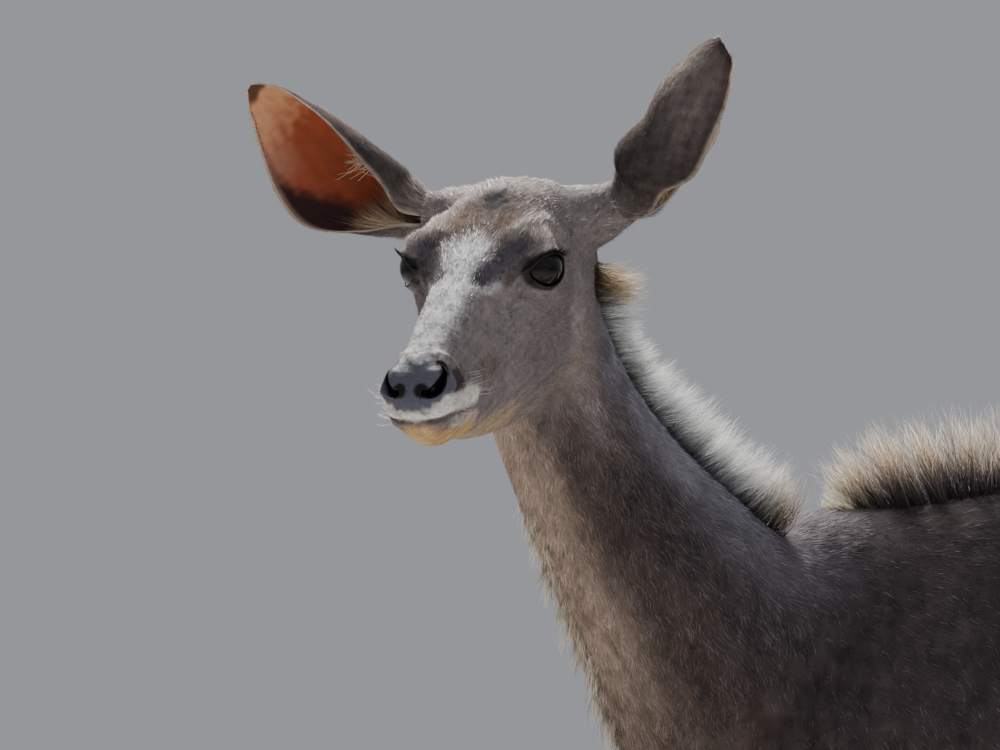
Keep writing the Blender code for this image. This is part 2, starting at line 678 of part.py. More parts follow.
def crest_locks(tree):
    out = []
    for across, stagger, near, far in CREST_ROWS:
        y = CREST_STATIONS[0] + 0.004 + stagger * near
        while y < CREST_STATIONS[-1]:
            tall, lean = smooth_rows(CREST_STATIONS, CREST_SIZES, [y])[0]
            point, normal = on_skin(tree, (across, y, 2.0), (0, 0, -1))
            length = (tall + LOCK_SINK) * draw.uniform(0.86, 1.12)
            sway = draw.uniform(-0.12, 0.12)
            first = normal + np.array([across * 18, -lean * 0.6 + sway, 0])
            last = normal + np.array([across * 12, -lean * 1.3 + sway, 0])
            width = 0.031 + 0.012 * max(0.0, min(1.0, (y - 0.25) / 0.3))
            out.append(lock(point - normal * LOCK_SINK, first, last, np.array([0, 1.0, 0]), length, width))
            y += near if y < 0.26 else far
    return out


# Throat fringe: short hair that hangs forward and down from the front of the neck.
FRINGE_SPAN = (0.60, 0.13)
FRINGE_COUNT = 9


def fringe_locks(tree):
    out = []
    for across, stagger in ((-0.012, 0.0), (0.012, 0.5)):
        for i in range(FRINGE_COUNT):
            share = (i + stagger + draw.uniform(-0.2, 0.2)) / FRINGE_COUNT
            s = FRINGE_SPAN[0] + (FRINGE_SPAN[1] - FRINGE_SPAN[0]) * share
            centre, along, side, up, twist = neck_frame(s)
            under = -(up * math.cos(twist) - side * math.sin(twist))
            right = side * math.cos(twist) + up * math.sin(twist)
            point, normal = on_skin(tree, centre + under * 0.45 + right * across, -under)
            down = np.array([0, 0, -1.0])
            length = (0.028 + 0.014 * math.sin(math.pi * share)) * draw.uniform(0.85, 1.2) + LOCK_SINK
            first = normal * 0.9 - along * 0.35 + down * 0.15
            last = normal * 0.15 - along * 0.6 + down * 0.8
            out.append(lock(point - normal * LOCK_SINK, first, last, along, length, 0.019))
    return out


tree = skin_finder(coarse)
hair = mane_locks(tree) + crest_locks(tree) + fringe_locks(tree)
grow(coarse, hair)

# Planes between the nodes. Each side stands back by half the gap.
head_cut_at = head_to_world([-0.030, 0, -0.105])
head_cut_normal = head_axes() @ unit([0.80, 0, 0.60])
neck_cut_at = np.array([0, 0.04, 1.20])
neck_cut_normal = unit([0, -0.748, 0.665])
FORE_CUT = 0.690
HIND_CUT = 0.735

head_side = half_space("head_side", head_cut_at + head_cut_normal * GAP / 2, head_cut_normal)
behind_head = half_space("behind_head", head_cut_at - head_cut_normal * GAP / 2, -head_cut_normal)
before_chest = half_space("before_chest", neck_cut_at + neck_cut_normal * GAP / 2, neck_cut_normal)
chest_side = half_space("chest_side", neck_cut_at - neck_cut_normal * GAP / 2, -neck_cut_normal)

head = boolean(copy_of(fine, "head"), head_side, "INTERSECT")
neck = boolean(copy_of(coarse, "neck"), behind_head, "INTERSECT")
boolean(neck, before_chest, "INTERSECT")
torso = boolean(copy_of(coarse, "torso"), chest_side, "INTERSECT")
drop(head_side, behind_head, before_chest, chest_side)
for name, rows, side, shift in LEGS:
    fore = "fore" in name
    cut = FORE_CUT if fore else HIND_CUT
    y0, y1 = (-0.3, 0.45) if fore else (0.70, 1.4)
    x0, x1 = (0.0, 0.4) if side > 0 else (-0.4, 0.0)
    region = block("region", (x0, y0, CORONET_HEIGHT + GAP / 2), (x1, y1, cut - GAP / 2))
    leg = boolean(copy_of(middling, name), region, "INTERSECT")
    drop(region)
    region = block("region", (x0, y0, -0.2), (x1, y1, cut + GAP / 2))
    boolean(torso, region, "DIFFERENCE")
    drop(region)
drop(fine, middling, coarse)

# Tail: leaves the body at a small flat, then hangs.
tail_cut_at = tail_root[3] - tail_along[3] * 0.006
tail_cut = half_space("tail_cut", tail_cut_at, tail_along[3], 0.045)
boolean(torso, tail_cut, "DIFFERENCE")
drop(tail_cut)
TAIL_PATH = np.array([
    tail_cut_at + tail_along[3] * GAP, [0, 1.140, 0.985], [0, 1.148, 0.900], [0, 1.147, 0.820],
    [0, 1.142, 0.740], [0, 1.136, 0.675],
])
TAIL_ROWS = np.array([
    [0.0150, 0.0150], [0.0150, 0.0120], [0.0190, 0.0125], [0.0225, 0.0125], [0.0190, 0.0110],
    [0.0050, 0.0040],
])
t = np.linspace(0, 1, 14)
spine = smooth_rows(np.linspace(0, 1, 6), TAIL_PATH, t)
size = smooth_rows(np.linspace(0, 1, 6), TAIL_ROWS, t)
along = unit(np.gradient(spine, axis=0))
along[0] = tail_along[3]
depth = np.cross(along, np.repeat([[1.0, 0, 0]], 14, 0))
tail = add_mesh("tail", *closed_loft(ellipse_rings(
    spine, np.repeat([[1.0, 0, 0]], 14, 0), depth, size[:, 0], size[:, 1], size[:, 1], 12)))

# Tail brush: locks down both edges, across the back and round the tip.
def tail_locks():
    out = []
    for i in range(20):
        share = 0.16 + 0.80 * (i // 2) / 9
        side = 1 if i % 2 else -1
        at, half_width = spine_at(share)
        around = draw.uniform(-0.9, 0.9)
        away = unit(np.array([side * math.cos(around), math.sin(around) * 0.8, 0]))
        root = at + away * half_width * 0.35
        length = (0.055 + 0.050 * share) * draw.uniform(0.85, 1.15)
        down = np.array([0, 0.02, -1.0])
        out.append(lock(root, away * 0.55 + down * 0.8, away * 0.12 + down, np.cross(away, down), length, 0.022))
    return out


def spine_at(share):
    at = smooth_rows(np.linspace(0, 1, 6), TAIL_PATH, [share])[0]
    return at, smooth_rows(np.linspace(0, 1, 6), TAIL_ROWS, [share])[0, 0]


grow(tail, tail_locks())

# Ears leave the head at flats across their roots.
for name, side, base, normal, axis, opening, twist, sag, curl in EARS:
    ear = add_mesh(name, *ear_shell(base, normal, axis, opening, twist, sag, curl))
    n = head_axes() @ unit(normal)
    cut = half_space("ear_cut", head_to_world(base) - n * GAP, n, 0.042)
    boolean(head, cut, "DIFFERENCE")
    drop(cut)

# Eyes: lids are a shell round the ball with an almond opening along the line of sight.
EYE_AXIS = unit([math.cos(math.radians(62)), math.sin(math.radians(62)), 0.06])
LID_OPENING = (0.0222, 0.0162)
for side, name in ((1, "eye_left"), (-1, "eye_right")):
    mirror = np.array([1, side, 1])
    centre = head_to_world(np.array(EYE_CENTRE) * mirror)
    look = head_axes() @ (EYE_AXIS * mirror)
    lids = ball("lids", centre, EYE_RADIUS + LID_THICKNESS, 12, 22, look)
    boolean(head, lids, "UNION")
    drop(lids)
    socket = ball("socket", centre, EYE_RADIUS + GAP * 1.5, 12, 22, look, cutters)
    boolean(head, socket, "DIFFERENCE")
    drop(socket)
    forward = head_axes() @ (np.array([1, 0, 0]) * mirror)
    fore = unit(forward - look * np.dot(forward, look))
    up = np.cross(look, fore) * side
    phi = np.linspace(0, 2 * np.pi, 28, endpoint=False)
    rim_x = np.cos(phi)
    rim_z = np.sin(phi) * (1 - 0.35 * np.abs(np.cos(phi)) ** 3)
    tilt = -0.16
    ex = (rim_x * math.cos(tilt) * LID_OPENING[0] - rim_z * math.sin(tilt) * LID_OPENING[1])
    ez = (rim_x * math.sin(tilt) * LID_OPENING[0] + rim_z * math.cos(tilt) * LID_OPENING[1])
    outline = fore * ex[:, None] + up * ez[:, None]
    rings = np.stack([centre + look * 0.004 + outline * 0.9, centre + look * 0.045 + outline * 1.08])
    slit = add_mesh("slit", *closed_loft(rings), cutters)
    boolean(head, slit, "DIFFERENCE")
    drop(slit)
    ball(name, centre, EYE_RADIUS, 9, 16, look)

# Nostrils: a comma that opens sideways and curls back under the wing.
for side in (1, -1):
    mirror = np.array([1, side, 1])
    path = np.array([
        [0.336, 0.012, -0.052], [0.342, 0.017, -0.046], [0.343, 0.023, -0.039], [0.337, 0.030, -0.034],
        [0.328, 0.036, -0.034], [0.319, 0.040, -0.038],
    ])
    size = np.array([0.0030, 0.0055, 0.0068, 0.0060, 0.0042, 0.0020])
    t = np.linspace(0, 1, 12)
    spine = smooth_rows(np.linspace(0, 1, 6), path, t)
    r = smooth_rows(np.linspace(0, 1, 6), size[:, None], t)[:, 0]
    along = unit(np.gradient(spine, axis=0))
    deep = unit(np.cross(along, np.repeat([[0.2, 0.1, 1.0]], 12, 0)))
    other = np.cross(deep, along)
    rings = ellipse_rings(spine, deep, other, r * 1.5, r * 0.75, r * 0.75, 12)
    hole = add_mesh("hole", *closed_loft(head_to_world(rings * mirror)), cutters)
    boolean(head, hole, "DIFFERENCE")
    drop(hole)

# Mouth: a thin groove along the lips, from corner to corner round the front.
mouth_x = np.array([0.262, 0.285, 0.308, 0.328, 0.343, 0.352, 0.356])
mouth_y = np.array([0.040, 0.038, 0.036, 0.033, 0.026, 0.013, 0.000])
mouth_z = np.array([-0.091, -0.092, -0.0865, -0.0780, -0.0700, -0.0640, -0.0620])
mouth = np.stack([mouth_x, mouth_y, mouth_z], 1)
mouth = smooth_rows(np.arange(7), mouth, np.linspace(0, 6, 13))
mouth = np.concatenate([mouth, mouth[-2::-1] * [1, -1, 1]])
inner = (mouth - [0.255, 0, -0.078]) * [0.72, 0.62, 1.0] + [0.250, 0, -0.078]
outer = (mouth - [0.255, 0, -0.078]) * [1.12, 1.25, 1.0] + [0.252, 0, -0.078]
half = 0.0014
rings = []
for i in range(len(mouth)):
    rings.append([outer[i] + [0, 0, half * 1.8], inner[i] + [0, 0, half * 0.5],
                  inner[i] - [0, 0, half * 0.5], outer[i] - [0, 0, half * 1.8]])
groove = add_mesh("groove", *closed_loft(head_to_world(np.array(rings))), cutters)
boolean(head, groove, "DIFFERENCE")
drop(groove)


# Hooves: two claws a foot, flat on the floor and flat under the coronet.
def claw_rings(x, y, side, size=1.0):
    rows = np.array([
        [0.000, 0.0150, -0.046, 0.034],
        [0.026, 0.0148, -0.036, 0.032],
        [CORONET_HEIGHT - GAP / 2, 0.0130, -0.0225, 0.0275],
    ]) * [1, size, size, size]
    phi = np.linspace(0, 2 * np.pi, 12, endpoint=False)
    rings = []
    for z, half_width, front, back in rows:
        mid = (front + back) / 2
        half_length = (back - front) / 2
        taper = 1 - 0.30 * np.clip(-np.sin(phi), 0, 1) ** 2
        px = np.cos(phi) * half_width * taper
        px = np.where(px * side < 0, px * 0.72, px)
        rings.append(np.stack([x + px, y + mid + np.sin(phi) * half_length, np.full(12, z)], 1))
    return np.array(rings)


for name, rows, side, shift in LEGS:
    foot = leg_rows(rows, side, shift, [len(rows) - 1.4])[0]
    for which, inner_side in (("inner", -side), ("outer", side)):
        x = foot[0] + inner_side * 0.0148
        claw = closed_loft(claw_rings(x, foot[1] - 0.001, inner_side))
        add_mesh(name.replace("leg", "claw") + "_" + which, *claw)

# Dewclaws: two small horn buds behind each fetlock, in pockets of the leg.
for name, rows, side, shift in LEGS:
    row = leg_rows(rows, side, shift, [13.85])[0]
    for which, inner_side in (("inner", -side), ("outer", side)):
        at = np.array([row[0] + inner_side * 0.0135, row[1] + 0.0265, 0.122])
        shape = np.array([0.0080, 0.0105, 0.0135])
        pocket = ball("pocket", at, shape + GAP, 4, 6, (0, 0, 1), cutters)
        boolean(bpy.data.objects[name], pocket, "DIFFERENCE")
        drop(pocket)
        ball(name.replace("leg", "dewclaw") + "_" + which, at, shape, 4, 6)

# One closed surface a node, resting on the floor over the middle of its box.
nodes = list(animal.objects)
for obj in nodes:
    largest_surface(obj)
low = np.full(3, np.inf)
high = np.full(3, -np.inf)
for obj in nodes:
    co = np.array([v.co for v in obj.data.vertices])
    low = np.minimum(low, co.min(0))
    high = np.maximum(high, co.max(0))
move = Vector((-(low[0] + high[0]) / 2, -(low[1] + high[1]) / 2, -low[2]))
for obj in nodes:
    obj.data.transform(Matrix.Translation(move))
    obj.data.update()

# Looks: one plain material a kind of surface.
COLOURS = {
    "skin": ((0.23, 0.18, 0.14, 1), 0.85),
    "eye": ((0.012, 0.008, 0.006, 1), 0.08),
    "horn": ((0.035, 0.028, 0.024, 1), 0.45),
}
for obj in nodes:
    kind = "skin"
    if obj.name.startswith("eye"):
        kind = "eye"
    if "claw" in obj.name:
        kind = "horn"
    colour, rough = COLOURS[kind]
    material = bpy.data.materials.new(obj.name)
    material.use_nodes = True
    surface = material.node_tree.nodes["Principled BSDF"]
    surface.inputs["Base Color"].default_value = colour
    surface.inputs["Roughness"].default_value = rough
    obj.data.materials.clear()
    obj.data.materials.append(material)
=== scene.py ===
"""A hornless greater kudu: skin, eyes, ears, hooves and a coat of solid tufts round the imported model.

+Z is up, the animal faces -Y and its left side is +X. Every length is in metres.
"""

import math

import bmesh
import bpy
import numpy as np
from mathutils import Matrix, Vector


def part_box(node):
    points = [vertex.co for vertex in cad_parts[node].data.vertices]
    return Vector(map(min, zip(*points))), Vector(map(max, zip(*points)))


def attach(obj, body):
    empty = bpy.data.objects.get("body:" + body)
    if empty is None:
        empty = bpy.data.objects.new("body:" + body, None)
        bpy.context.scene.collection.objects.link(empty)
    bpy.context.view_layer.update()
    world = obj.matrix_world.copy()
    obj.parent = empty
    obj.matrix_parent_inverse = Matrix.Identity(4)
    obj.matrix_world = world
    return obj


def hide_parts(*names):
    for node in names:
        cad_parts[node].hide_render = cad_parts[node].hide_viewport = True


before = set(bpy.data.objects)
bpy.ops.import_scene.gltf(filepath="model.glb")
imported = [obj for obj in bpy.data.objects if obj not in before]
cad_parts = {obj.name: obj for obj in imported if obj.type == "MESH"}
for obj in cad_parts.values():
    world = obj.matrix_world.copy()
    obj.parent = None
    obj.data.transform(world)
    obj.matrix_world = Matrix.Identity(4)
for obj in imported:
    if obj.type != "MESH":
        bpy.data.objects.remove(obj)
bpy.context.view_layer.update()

# Skull and hide of the head
# A long narrow head of skull and muscle, its forms measured in the head's own frame:
# x forward from the poll, y to the animal's left, z up.

HEAD_YAW = math.radians(49.5)
HEAD_PITCH = math.radians(29.0)
POLL_AT = np.array([0.140, -0.349, 1.518])
EYE_RADIUS = 0.0225
SOLID_EYE = np.array([0.131, 0.0522, -0.026])
EYE_CENTRE = SOLID_EYE + [-0.001, 0.0040, 0.0]
LID_THICKNESS = 0.0034
EYE_AXIS = np.array([0.4695, 0.8830, 0.06])
LID_OPENING = (0.0236, 0.0156)
LID_TILT = 0.30
# No point of the head lies farther than this from the poll.
HEAD_REACH = 0.5


def unit(v):
    """Each vector divided by its length."""
    v = np.asarray(v, float)
    return v / np.maximum(np.linalg.norm(v, axis=-1, keepdims=True), 1e-12)


def head_axes():
    """Columns: the head's forward, left and up, from a yaw about Z and a pitch down."""
    c = math.cos(HEAD_PITCH)
    heading = np.array([math.sin(HEAD_YAW), -math.cos(HEAD_YAW), 0.0])
    left = np.array([math.cos(HEAD_YAW), math.sin(HEAD_YAW), 0.0])
    forward = heading * c - np.array([0, 0, math.sin(HEAD_PITCH)])
    return np.stack([forward, left, np.cross(forward, left)], 1)


AXES = head_axes()
EYE_AXIS = unit(EYE_AXIS)


def head_to_world(points):
    """The poll plus the head's axes times the point."""
    return POLL_AT + np.asarray(points, float) @ AXES.T


def world_to_head(points):
    """The inverse of head_to_world: the axes are square to each other."""
    return (np.asarray(points, float) - POLL_AT) @ AXES


def eye_frame(side):
    """An eye's centre, its look, and the ways forward and up across the look, in the world."""
    mirror = np.array([1, side, 1])
    look = AXES @ (EYE_AXIS * mirror)
    fore = unit(AXES[:, 0] - look * np.dot(AXES[:, 0], look))
    return head_to_world(EYE_CENTRE * mirror), look, fore, np.cross(fore, look) * side


def lid_edge(phi):
    """Edge of the lids' opening at angles phi, forward and up: an ellipse drawn in at its corners, tilted."""
    rim_x = np.cos(phi)
    rim_z = np.sin(phi) * (1 - 0.35 * np.abs(np.cos(phi)) ** 3)
    ex = rim_x * math.cos(LID_TILT) * LID_OPENING[0] - rim_z * math.sin(LID_TILT) * LID_OPENING[1]
    ez = rim_x * math.sin(LID_TILT) * LID_OPENING[0] + rim_z * math.cos(LID_TILT) * LID_OPENING[1]
    return ex, ez


eye_low, eye_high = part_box("eye_left")
MOVE = (np.array(eye_low) + np.array(eye_high)) / 2 - head_to_world(SOLID_EYE)


def smooth_rows(stations, rows, at):
    """Cubic Hermite rows through the stations, with slopes averaged between neighbours."""
    stations = np.asarray(stations, float)
    rows = np.asarray(rows, float)
    step = np.diff(stations)[:, None]
    slope = np.diff(rows, axis=0) / step
    m = np.zeros_like(rows)
    m[1:-1] = (slope[:-1] * step[1:] + slope[1:] * step[:-1]) / (step[1:] + step[:-1])
    m[0] = slope[0]
    m[-1] = slope[-1]
    at = np.clip(np.asarray(at, float), stations[0], stations[-1])
    i = np.clip(np.searchsorted(stations, at, side="right") - 1, 0, len(stations) - 2)
    h = step[i]
    t = (at - stations[i])[:, None] / h
    a = (2 * t**3 - 3 * t**2 + 1) * rows[i] + (t**3 - 2 * t**2 + t) * h * m[i]
    return a + (3 * t**2 - 2 * t**3) * rows[i + 1] + (t**3 - t**2) * h * m[i + 1]


# Columns: x, top line z, crown edge y z, widest y z, jaw edge y z, bottom line z.
HEAD_ROWS = np.array([
    [-0.045, -0.050, 0.034, -0.060, 0.048, -0.090, 0.038, -0.135, -0.150],
    [-0.005, -0.006, 0.040, -0.014, 0.058, -0.066, 0.046, -0.140, -0.172],
    [0.040, 0.006, 0.045, -0.001, 0.063, -0.055, 0.049, -0.150, -0.187],
    [0.085, 0.010, 0.049, 0.003, 0.065, -0.058, 0.050, -0.150, -0.190],
    [0.125, 0.010, 0.050, 0.003, 0.064, -0.058, 0.048, -0.148, -0.190],
    [0.165, 0.004, 0.037, -0.005, 0.054, -0.062, 0.042, -0.138, -0.180],
    [0.210, -0.003, 0.026, -0.011, 0.041, -0.062, 0.036, -0.124, -0.163],
    [0.255, -0.008, 0.022, -0.016, 0.033, -0.058, 0.031, -0.110, -0.143],
    [0.290, -0.012, 0.021, -0.020, 0.032, -0.056, 0.029, -0.098, -0.124],
    [0.318, -0.017, 0.023, -0.025, 0.034, -0.056, 0.028, -0.090, -0.112],
    [0.340, -0.026, 0.022, -0.033, 0.032, -0.057, 0.023, -0.082, -0.098],
    [0.354, -0.038, 0.016, -0.044, 0.022, -0.060, 0.014, -0.074, -0.084],
])
# Swellings and hollows: centre, radii and push, each mirrored to the other side.
HEAD_SWELLINGS = [
    ((0.126, 0.064, -0.028), (0.042, 0.022, 0.034), (0.000, 0.010, 0.000)),
    ((0.136, 0.062, -0.003), (0.032, 0.022, 0.014), (0.000, 0.014, 0.004)),
    ((0.122, 0.064, -0.068), (0.040, 0.020, 0.016), (0.000, 0.006, 0.000)),
    ((0.190, 0.045, -0.030), (0.032, 0.030, 0.020), (0.000, -0.007, 0.000)),
    ((0.072, 0.060, -0.020), (0.020, 0.030, 0.020), (0.000, -0.006, 0.000)),
    ((0.060, 0.055, -0.120), (0.045, 0.030, 0.040), (0.000, 0.008, 0.000)),
    ((0.332, 0.030, -0.038), (0.018, 0.020, 0.020), (0.002, 0.008, 0.002)),
    ((0.300, 0.028, -0.072), (0.030, 0.020, 0.012), (0.000, 0.005, 0.000)),
    ((0.030, 0.000, 0.004), (0.030, 0.030, 0.020), (0.000, 0.000, 0.007)),
    ((0.320, 0.000, -0.115), (0.020, 0.030, 0.015), (0.000, 0.000, -0.004)),
]


def head_loft(n_u=120, n_v=96):
    """Rings along x through eight rim points each, joined by Catmull-Rom cubics, then pushed by the swellings."""
    spread = [[-0.045], [0.07], [0.18], [0.30], [0.354]]
    x = smooth_rows(np.linspace(0, 1, 5), spread, np.linspace(0, 1, n_u))[:, 0]
    top, y1, z1, y2, z2, y3, z3, low = smooth_rows(HEAD_ROWS[:, 0], HEAD_ROWS[:, 1:], x).T
    none = np.zeros_like(top)
    ys = np.stack([none, y1, y2, y3, none, -y3, -y2, -y1], 1)
    zs = np.stack([top, z1, z2, z3, low, z3, z2, z1], 1)
    wrap = np.arange(-1, 11) % 8
    t = np.linspace(0, 8, n_v, endpoint=False)
    i = np.floor(t).astype(int)
    f = t - i
    out = []
    for c in (ys[:, wrap], zs[:, wrap]):
        p0, p1, p2, p3 = c[:, i], c[:, i + 1], c[:, i + 2], c[:, i + 3]
        cubic = 2 * p1 + (p2 - p0) * f + (2 * p0 - 5 * p1 + 4 * p2 - p3) * f**2
        out.append(0.5 * (cubic + (3 * p1 - 3 * p2 + p3 - p0) * f**3))
    p = np.stack([np.repeat(x[:, None], n_v, 1), out[0], out[1]], -1)
    for centre, radii, push in HEAD_SWELLINGS:
        for side in ((1, -1) if centre[1] else (1,)):
            mirror = np.array([1, side, 1])
            weight = np.exp(-(((p - np.array(centre) * mirror) / np.array(radii)) ** 2).sum(-1))
            p = p + weight[..., None] * np.array(push) * mirror
    return p


def ring_triangles(n, m):
    """Two triangles to each gap between n closed rings of m points, as two arrays."""
    i, j = np.meshgrid(np.arange(n - 1), np.arange(m), indexing="ij")
    k = (j + 1) % m
    a, b, c, d = i * m + j, i * m + k, (i + 1) * m + k, (i + 1) * m + j
    return [np.stack([a, b, c], -1).reshape(-1, 3), np.stack([a, c, d], -1).reshape(-1, 3)]


def closed_loft(rings):
    """Triangles between neighbouring rings (n, m, 3), and a fan to the middle of each end ring."""
    n, m, _ = rings.shape
    q = np.arange(m)
    r = (q + 1) % m
    last = (n - 1) * m
    caps = [np.stack([np.full(m, n * m), r, q], 1), np.stack([np.full(m, n * m + 1), last + q, last + r], 1)]
    points = np.concatenate([rings.reshape(-1, 3), [rings[0].mean(0)], [rings[-1].mean(0)]])
    return points, outward(points, np.concatenate(ring_triangles(n, m) + caps))


def outward(points, triangles):
    """The triangles turned round where the volume that they enclose comes out negative."""
    p = points[triangles]
    if np.einsum("ij,ij->", p[:, 0], np.cross(p[:, 1], p[:, 2])) < 0:
        return triangles[:, ::-1]
    return triangles


def put_mesh(name, points, triangles):
    """An object at the origin with these points and triangles."""
    mesh = bpy.data.meshes.new(name)
    mesh.vertices.add(len(points))
    mesh.vertices.foreach_set("co", np.ascontiguousarray(points, np.float32).ravel())
    mesh.loops.add(len(triangles) * 3)
    mesh.loops.foreach_set("vertex_index", np.ascontiguousarray(triangles, np.int32).ravel())
    mesh.polygons.add(len(triangles))
    mesh.polygons.foreach_set("loop_start", np.arange(0, len(triangles) * 3, 3, dtype=np.int32))
    mesh.polygons.foreach_set("use_smooth", np.full(len(triangles), True))
    mesh.update(calc_edges=True)
    obj = bpy.data.objects.new(name, mesh)
    bpy.context.scene.collection.objects.link(obj)
    return obj


# Neck, trunk and legs under the skin
# The body's muscle masses as closed lofts: the neck along a path that turns to the left,
# the trunk along Y, and four legs from the shoulder blade or croup down to the coronet.

NECK_PATH = np.array([
    [0.000, 0.120, 0.955], [0.000, 0.020, 1.005], [0.018, -0.085, 1.085], [0.050, -0.180, 1.190],
    [0.080, -0.255, 1.290], [0.102, -0.305, 1.380], [0.110, -0.328, 1.452],
])
# Half depth above and below the path, half width, twist in degrees.
NECK_ROWS = np.array([
    [0.245, 0.205, 0.136, 0], [0.208, 0.200, 0.122, 4], [0.115, 0.158, 0.104, 9],
    [0.075, 0.118, 0.079, 13], [0.054, 0.097, 0.062, 16], [0.052, 0.084, 0.055, 20],
    [0.054, 0.066, 0.052, 24],
])
# Trunk: y, top line, bottom line, half width, height of the widest point.
TRUNK_ROWS = np.array([
    [-0.186, 1.040, 0.930, 0.034, 0.990], [-0.165, 1.085, 0.875, 0.064, 0.980],
    [-0.105, 1.160, 0.805, 0.102, 0.970], [-0.020, 1.202, 0.755, 0.134, 0.960],
    [0.100, 1.212, 0.735, 0.150, 0.950], [0.200, 1.228, 0.730, 0.162, 0.940],
    [0.320, 1.240, 0.730, 0.184, 0.930], [0.480, 1.220, 0.730, 0.206, 0.920],
    [0.660, 1.200, 0.742, 0.208, 0.930], [0.800, 1.203, 0.778, 0.184, 0.970],
    [0.900, 1.212, 0.820, 0.162, 1.020], [1.000, 1.196, 0.870, 0.142, 1.040],
    [1.070, 1.150, 0.910, 0.105, 1.040], [1.110, 1.080, 0.970, 0.050, 1.030],
])
# Legs from the top down: x, y, z, half width, half depth.
FORELEG_ROWS = np.array([
    [0.078, 0.150, 1.160, 0.030, 0.070], [0.100, 0.090, 1.090, 0.046, 0.100],
    [0.116, 0.030, 1.000, 0.056, 0.112], [0.122, -0.010, 0.920, 0.056, 0.108],
    [0.118, 0.020, 0.840, 0.050, 0.095], [0.110, 0.060, 0.770, 0.043, 0.070],
    [0.102, 0.062, 0.690, 0.037, 0.050], [0.096, 0.055, 0.600, 0.030, 0.039],
    [0.090, 0.050, 0.500, 0.0245, 0.030], [0.088, 0.046, 0.445, 0.0285, 0.034],
    [0.088, 0.046, 0.405, 0.0285, 0.034], [0.087, 0.052, 0.360, 0.0215, 0.027],
    [0.086, 0.054, 0.270, 0.0175, 0.0225], [0.086, 0.054, 0.180, 0.0180, 0.0235],
    [0.086, 0.054, 0.135, 0.0245, 0.0300], [0.086, 0.040, 0.098, 0.0200, 0.0235],
    [0.086, 0.028, 0.068, 0.0250, 0.0290], [0.086, 0.018, 0.038, 0.0300, 0.0370],
])
HINDLEG_ROWS = np.array([
    [0.060, 0.960, 1.140, 0.045, 0.085], [0.088, 0.940, 1.075, 0.062, 0.125],
    [0.106, 0.925, 0.990, 0.068, 0.142], [0.116, 0.900, 0.900, 0.064, 0.132],
    [0.118, 0.870, 0.820, 0.054, 0.100], [0.112, 0.885, 0.750, 0.046, 0.072],
    [0.105, 0.925, 0.670, 0.037, 0.052], [0.098, 0.970, 0.590, 0.028, 0.038],
    [0.093, 1.010, 0.520, 0.025, 0.040], [0.091, 1.030, 0.470, 0.029, 0.042],
    [0.090, 1.032, 0.425, 0.026, 0.033], [0.089, 1.026, 0.370, 0.0205, 0.027],
    [0.088, 1.016, 0.270, 0.0180, 0.0240], [0.088, 1.008, 0.185, 0.0185, 0.0245],
    [0.088, 1.004, 0.138, 0.0245, 0.0305], [0.088, 0.988, 0.100, 0.0200, 0.0240],
    [0.088, 0.975, 0.068, 0.0250, 0.0290], [0.088, 0.963, 0.038, 0.0300, 0.0370],
])
LEGS = [
    ("fore_left", FORELEG_ROWS, 1, -0.030), ("fore_right", FORELEG_ROWS, -1, 0.030),
    ("hind_left", HINDLEG_ROWS, 1, 0.035), ("hind_right", HINDLEG_ROWS, -1, -0.045),
]
# Ears: name, side, base, normal, axis, opening, twist, sag and curl.
EARS = [
    ("left", 1, (0.000, 0.087, -0.034), (-0.05, 0.91, 0.40),
     (-0.041, 0.579, 0.814), (0.404, 0.864, -0.299), 1.24, -0.0175, 0.026),
    ("right", -1, (0.000, -0.086, -0.042), (0.00, -0.99, 0.08),
     (-0.121, -0.776, 0.619), (0.985, 0.097, 0.141), -0.28, 0.0125, 0.010),
]


def ellipse_rings(centre, across, up, width, top, bottom, count, power=1.0):
    """Rings centre + across w cos^p + up h sin^p, with one half height above and one below."""
    phi = np.linspace(0, 2 * np.pi, count, endpoint=False)
    c = np.sign(np.cos(phi)) * np.abs(np.cos(phi)) ** power
    s = np.sign(np.sin(phi)) * np.abs(np.sin(phi)) ** power
    height = np.where(s[None] > 0, top[:, None], bottom[:, None])
    side = across[:, None] * (width[:, None] * c[None])[..., None]
    return centre[:, None] + side + up[:, None] * (height * s[None])[..., None]


def neck_frames(s):
    """At shares s of the neck's path: centre, along, across and up, turned by the twist, and the half sizes."""
    k = np.linspace(0, 1, len(NECK_PATH))
    s = np.asarray(s, float)
    centre = smooth_rows(k, NECK_PATH, s)
    rows = smooth_rows(k, NECK_ROWS, s)
    along = unit(smooth_rows(k, NECK_PATH, s + 0.008) - smooth_rows(k, NECK_PATH, s - 0.008))
    side = unit(np.cross(along, [0, 0.5, 1.0]))
    up = np.cross(side, along)
    c = np.cos(np.radians(rows[:, 3:4]))
    d = np.sin(np.radians(rows[:, 3:4]))
    return centre, along, side * c + up * d, up * c - side * d, rows


def neck_loft(n_u=60, n_v=64):
    """Ellipses square to the neck's path."""
    k = np.linspace(0, 1, len(NECK_PATH))
    t = np.linspace(0, 1, n_u)
    centre = smooth_rows(k, NECK_PATH, t)
    rows = smooth_rows(k, NECK_ROWS, t)
    along = unit(np.gradient(centre, axis=0))
    side = unit(np.cross(along, np.repeat([[0, 0.5, 1.0]], n_u, 0)))
    up = np.cross(side, along)
    c = np.cos(np.radians(rows[:, 3:4]))
    s = np.sin(np.radians(rows[:, 3:4]))
    wide, top, low = rows[:, 2], rows[:, 0], rows[:, 1]
    return ellipse_rings(centre, side * c + up * s, up * c - side * s, wide, top, low, n_v, 0.95)


